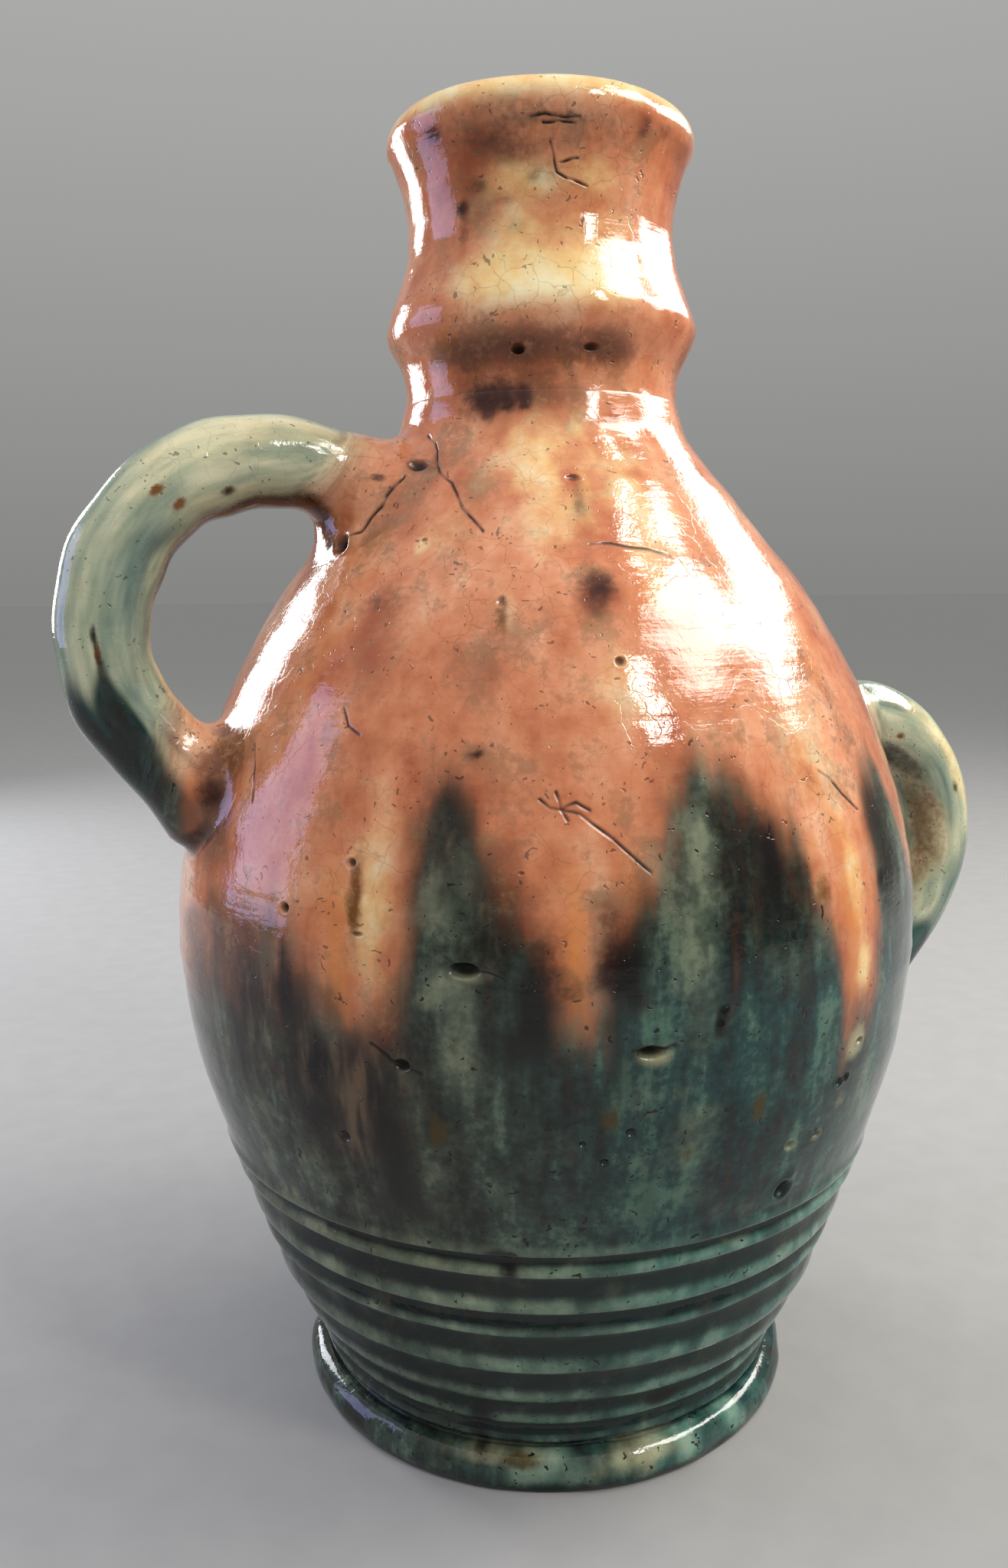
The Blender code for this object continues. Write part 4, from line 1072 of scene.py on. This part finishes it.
class Roll:
    """One pulled handle: its centre line, its thickness and how it grows into the wall."""

    def __init__(self, side, root, shape):
        self.side = side
        self.along, self.line = handle_line(side, root, shape)
        self.spacing = self.along[1] - self.along[0]
        slope = np.gradient(self.line, axis=0)
        self.tangent = slope / np.hypot(*slope.T)[:, None]
        self.outward = np.stack([-self.tangent[:, 1], self.tangent[:, 0]], axis=-1) * side
        out = np.abs(self.line[:, 0]) - wall_radius(self.line[:, 1])
        nearness = np.clip(1.0 - out / COLLAR_LENGTH, 0.0, 1.0) ** COLLAR_TAPER
        upper = self.along < self.along[-1] / 2
        uneven = 0.00022 * np.sin(self.along * 210.0 + side) + 0.00016 * np.sin(self.along * 470.0)
        self.tall = HANDLE_ROLL + np.where(upper, UPPER_COLLAR[0], LOWER_COLLAR[0]) * nearness + uneven
        self.wide = HANDLE_ROLL + np.where(upper, UPPER_COLLAR[1], LOWER_COLLAR[1]) * nearness - uneven

    def offset(self, points, index):
        """How far points lie outwards and along from stations of the centre line."""
        apart = points[:, [0, 2]] - self.line[index]
        return (apart * self.outward[index]).sum(axis=-1), (apart * self.tangent[index]).sum(axis=-1)

    def gap(self, points, start, end):
        """Distance from the roll's own surface, and the nearest station between two of them."""
        line = self.line[start:end]
        away = (points[:, None, 0] - line[None, :, 0]) ** 2 + (points[:, None, 2] - line[None, :, 1]) ** 2
        index = away.argmin(axis=1) + start
        lifted = self.offset(points, index)[0]
        share = np.hypot(lifted / self.tall[index], points[:, 1] / self.wide[index])
        size = np.hypot(lifted, points[:, 1]) / np.maximum(share, 1e-6)
        return (share - 1.0) * size, index

    def find(self, points, index):
        """Exact stations and angles of a ring of points on the roll that lie near some stations."""
        lifted, along = self.offset(points, index)
        angle = np.unwrap(np.arctan2(lifted / self.tall[index], points[:, 1] / self.wide[index]))
        angle += 2 * np.pi * np.round((HANDLE_ANGLES - angle).mean() / (2 * np.pi))
        return index + along / self.spacing, angle

    def surface(self, station, angle):
        """Points on the roll at stations and angles about it."""
        x, z, out_x, out_z, tall, wide = (
            np.interp(station, np.arange(len(self.along)), values)
            for values in (*self.line.T, *self.outward.T, self.tall, self.wide)
        )
        length = np.hypot(out_x, out_z)
        lifted = tall * np.sin(angle)
        points = (x + out_x / length * lifted, wide * np.cos(angle), z + out_z / length * lifted)
        return np.stack(points, axis=-1)


def wall_place(turn, height, out):
    """Points standing out square to the sloping wall, out in metres."""
    step = 0.2
    lower = place(turn, height - step, thrown_skin(turn, height - step))
    upper = place(turn, height + step, thrown_skin(turn, height + step))
    here = place(turn, height, thrown_skin(turn, height))
    along = upper - lower
    radial = here * np.array([1.0, 1.0, 0.0])
    radial = radial / np.linalg.norm(radial, axis=-1)[..., None]
    rise = along[..., 2]
    swell = (along * radial).sum(axis=-1)
    length = np.hypot(rise, swell)
    normal = radial * (rise / length)[..., None]
    normal[..., 2] -= swell / length
    return here + normal * out[..., None]


def root_skirt(roll, lower_end):
    """Rows of points from the wall on to one end of the roll, each with its wall turns, wall
    heights, share of wall and nearest stations."""
    count = len(roll.along)
    start, end = (count // 2, count) if lower_end else (0, count // 2)
    side_turn = wrapped((180.0 if roll.side < 0 else 0.0) - FRONT)

    # How deep in the wall the centre line lies, and the height on the wall nearest to it
    centre = roll.line[start:end]
    heights = np.arange(centre[:, 1].min() / MM - 25.0, centre[:, 1].max() / MM + 25.0, 0.1)
    radii = wall_radius(heights * MM)
    apart = centre[:, None, 0] * roll.side - radii[None, :]
    raised = centre[:, None, 1] - heights[None, :] * MM
    away = np.hypot(apart, raised)
    outside = np.abs(centre[:, 0]) > wall_radius(centre[:, 1])
    depth = np.where(outside, 1.0, -1.0) * away.min(axis=1)
    order = np.argsort(depth)
    depth = depth[order]
    nearest = heights[away.argmin(axis=1)][order]

    # Each row is how far it stands out from the wall, and how far off the roll it lies
    outer_fillet = LOWER_OUTER_FILLET if lower_end else UPPER_OUTER_FILLET
    fillet = INNER_FILLET + (outer_fillet - INNER_FILLET) * smoothstep(-0.2, 0.9, np.sin(HANDLE_ANGLES))
    rows = [(np.full(HANDLE_SIDES, -deep), fillet + beyond) for deep, beyond in BURIED_ROWS]
    for t in np.linspace(-1.0, 1.0, FILLET_ROWS)[1:]:
        shared = (1.0 - abs(t)) ** 2 * fillet / 4
        rows.append((shared + max(t, 0.0) * fillet, shared + max(-t, 0.0) * fillet))

    flip = -1.0 if lower_end else 1.0
    skirt = []
    for out, gap in rows:
        base = np.interp(out, depth, nearest)
        radius = wall_radius(base * MM)
        slope = (wall_radius((base + 0.5) * MM) - wall_radius((base - 0.5) * MM)) / MM
        lean = 1.0 / np.hypot(1.0, slope)
        near = np.zeros(HANDLE_SIDES)
        far = np.full(HANDLE_SIDES, SKIRT_REACH)
        for _ in range(SKIRT_HALVINGS):
            middle = (near + far) / 2
            turn = side_turn + roll.side * np.degrees(middle * np.cos(HANDLE_ANGLES) / radius)
            height = base + flip * middle * np.sin(HANDLE_ANGLES) * lean / MM
            points = wall_place(turn, height, out)
            measured, index = roll.gap(points, start, end)
            inside = measured < gap
            near = np.where(inside, middle, near)
            far = np.where(inside, far, middle)
        skirt.append((points, turn, height, np.clip(1.0 - out / fillet, 0.0, 1.0), index))
    return skirt


def handle_rings(roll):
    """Rings of points from the wall at the upper root to the wall at the lower one, each with its
    wall turns, wall heights, share of wall and length along the roll."""
    upper = root_skirt(roll, False)
    lower = root_skirt(roll, True)
    first_station, first_angle = roll.find(upper[-1][0], upper[-1][4])
    last_station, last_angle = roll.find(lower[-1][0], lower[-1][4])
    steps = int((last_station - first_station).mean() * roll.spacing / HANDLE_ROW)
    rings = [(*row[:4], roll.along[row[4]]) for row in upper]
    for step in range(1, steps):
        t = step / steps
        station = first_station + (last_station - first_station) * t
        free = smoothstep(0.0, 0.25, t) * smoothstep(1.0, 0.75, t)
        root_row, root_angle = (upper[-1], first_angle) if t < 0.5 else (lower[-1], last_angle)
        points = roll.surface(station, root_angle + (HANDLE_ANGLES - root_angle) * free)
        rings.append((points, root_row[1], root_row[2], np.zeros(HANDLE_SIDES), station * roll.spacing))
    rings += [(*row[:4], roll.along[row[4]]) for row in reversed(lower)]
    return rings


def tube_mesh(rings):
    """Closed tube through rings of points. Its corners keep what comes with each ring, and the
    cosine and sine of their angle about the roll."""
    mesh = bmesh.new()
    labels = ("turn", "height", "wall", "along", "across", "upward")
    layers = [mesh.verts.layers.float.new(label) for label in labels]
    grid = []
    for points, *kept in rings:
        ring = [mesh.verts.new(point) for point in points]
        for layer, values in zip(layers, (*kept, np.cos(HANDLE_ANGLES), np.sin(HANDLE_ANGLES))):
            for corner, value in zip(ring, values):
                corner[layer] = value
        grid.append(ring)
    for first, second in zip(grid, grid[1:]):
        join_rings(mesh, first, second)
    mesh.faces.new(grid[0][::-1])
    mesh.faces.new(grid[-1])
    return mesh, layers


def dress_handle(node, side, root, shape, spots, materials):
    """Pulled handle with its two collars, that flows out of the wall at both ends."""
    mesh, layers = tube_mesh(handle_rings(Roll(side, root, shape)))
    for reach in REFINE_REACHES:
        refine(mesh, layers, layers[2], 0.02, reach)
    bmesh.ops.recalc_face_normals(mesh, faces=mesh.faces)
    turn, height, wall, along, across, upward = read_layers(mesh, layers)
    points = np.array([corner.co for corner in mesh.verts])
    normals = np.array([corner.normal for corner in mesh.verts])
    places = Places(turn, height)
    points = points + normals * (marks(places) * smoothstep(0.0, 0.6, wall) * MM)[:, None]
    reach = np.abs(points[:, 0]) - wall_radius(np.clip(points[:, 2], 0.0, 0.25))
    celadon = smoothstep(0.004, 0.018, reach)
    covers = {label: cover * (1.0 - celadon) for label, cover in paint(places).items()}
    covers["handle"] = celadon

    angle = np.arctan2(upward, across)
    around = np.degrees(angle)
    ragged = 1.0 + 0.15 * waves(around, along / MM, 8, 12.0, 16, 71)
    for spot_along, spot_around, half_length, half_angle, label, strength in spots:
        bend = wrapped(around - spot_around) / half_angle
        away = np.hypot((along / MM - spot_along) / half_length, bend) * ragged
        covers[label] = together(covers.get(label, 0.0), strength * smoothstep(1.5, 0.3, away))

    # The streaks turn from the wall's run to the handle's pull
    pulled = np.stack([
        side * 0.06 + HANDLE_ROLL * np.cos(angle),
        HANDLE_ROLL * np.sin(angle),
        (root + along) * FLOW_STRETCH,
    ], axis=-1)
    flow = points * FLOW_SCALE
    flow = flow + (pulled - flow) * celadon[:, None]
    glazed_all_over = np.zeros(len(points), bool)
    piece = finish_piece(mesh, node + "_glazed", points, covers, flow, glazed_all_over, materials[:1])
    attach(piece, "root")
    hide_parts(node, node + "_upper_collar", node + "_lower_collar")


def softbox(name, turn, rise, distance, width, height, glow, colour, lights=True, shines=True):
    """Soft lamp aimed at the pot, placed by its turn from the front and its rise; glow is its
    brightness. It lights the colours, shines in the glaze, or does both."""
    lamp = bpy.data.lights.new(name, "AREA")
    lamp.shape = "RECTANGLE"
    lamp.size = width
    lamp.size_y = height
    lamp.energy = glow * np.pi * width * height
    lamp.color = linear(colour)[:3]
    holder = bpy.data.objects.new(name, lamp)
    bpy.context.scene.collection.objects.link(holder)
    angle = np.radians(turn + FRONT)
    level = np.radians(rise)
    away = Vector((np.cos(level) * np.cos(angle), np.cos(level) * np.sin(angle), np.sin(level)))
    holder.location = LIT_POINT + away * distance
    holder.rotation_euler = (LIT_POINT - holder.location).to_track_quat("-Z", "Y").to_euler()
    holder.visible_camera = False
    holder.visible_diffuse = lights
    holder.visible_glossy = shines


def light_and_floor():
    """Plain pale floor, and soft studio light: large softboxes on the right with their glare, a
    tall one behind on the left, and a pale fill on the left."""
    softbox("right_softbox", 116.0, 33.0, 0.9, 0.70, 0.28, 7.0, "#FFF9F2")
    softbox("right_high_softbox", 84.0, 46.0, 0.9, 0.42, 0.34, 7.0, "#FFF9F2")
    softbox("right_glare", 121.0, 33.0, 0.9, 0.74, 0.21, 9.0, "#FFF9F2", lights=False)
    softbox("right_high_glare", 81.0, 48.0, 0.9, 0.50, 0.30, 12.0, "#FFF9F2", lights=False)
    softbox("right_top_strip", 84.0, 63.0, 0.9, 0.13, 0.05, 26.0, "#FFF9F2")
    softbox("right_small_box", 44.0, 41.0, 0.9, 0.12, 0.20, 28.0, "#FFFAF4")
    softbox("left_softbox", 233.0, 14.0, 0.9, 0.28, 0.46, 10.0, "#F6F9FF")
    softbox("left_card", -90.0, 13.0, 1.0, 0.50, 0.66, 3.6, "#BBC0FF", lights=False)
    softbox("left_fill", -85.0, 35.0, 1.3, 0.60, 0.50, 5.0, "#E4E2FF", shines=False)
    world = bpy.data.worlds.new("studio")
    bpy.context.scene.world = world
    tree = empty_tree(world)
    direction = add(tree, "TexCoord")
    rise = add(tree, "SeparateXYZ", {0: direction}, 2)
    dome = tones(tree, rise, (0.0, "#868685"), (0.5, "#B4B4B3"), (1.0, "#E9E9E7"))
    around = add(tree, "Background", {0: dome})
    add(tree, "OutputWorld", {0: around})

    mesh = bpy.data.meshes.new("floor")
    corners = [(FLOOR_HALF * x, FLOOR_HALF * y, 0.0) for x, y in ((-1, -1), (1, -1), (1, 1), (-1, 1))]
    mesh.from_pydata(corners, [], [(0, 1, 2, 3)])
    floor = bpy.data.objects.new("floor", mesh)
    bpy.context.scene.collection.objects.link(floor)
    mesh.materials.append(pale_paper())


def photo_camera():
    """Camera close in front of the vase and a little above its middle, looking slightly down."""
    camera = bpy.data.cameras.new("photo_view")
    camera.sensor_fit = "VERTICAL"
    camera.sensor_height = 36.0
    camera.lens = CAMERA_LENS
    camera.clip_start = 0.01
    holder = bpy.data.objects.new("photo_view", camera)
    bpy.context.scene.collection.objects.link(holder)
    front = np.radians(FRONT)
    holder.location = (CAMERA_DISTANCE * np.cos(front), CAMERA_DISTANCE * np.sin(front), CAMERA_HEIGHT)
    facing = Matrix.Rotation(CAMERA_YAW, 4, "Z") @ Matrix.Rotation(np.pi / 2 - CAMERA_PITCH, 4, "X")
    facing = facing @ Matrix.Rotation(CAMERA_ROLL, 4, "Z")
    holder.rotation_euler = facing.to_euler()
    bpy.context.scene.camera = holder


photo_camera()
light_and_floor()
glaze_and_clay = (glazed_stoneware(), bare_stoneware())
dress_body(glaze_and_clay)
dress_neck(glaze_and_clay)
dress_foot(glaze_and_clay)
dress_handle("shoulder_handle", -1, SHOULDER_ROOT, SHOULDER_PATH, SHOULDER_SPOTS, glaze_and_clay)
dress_handle("side_handle", 1, SIDE_ROOT, SIDE_PATH, SIDE_SPOTS, glaze_and_clay)

bpy.context.scene.view_settings.view_transform = "Standard"
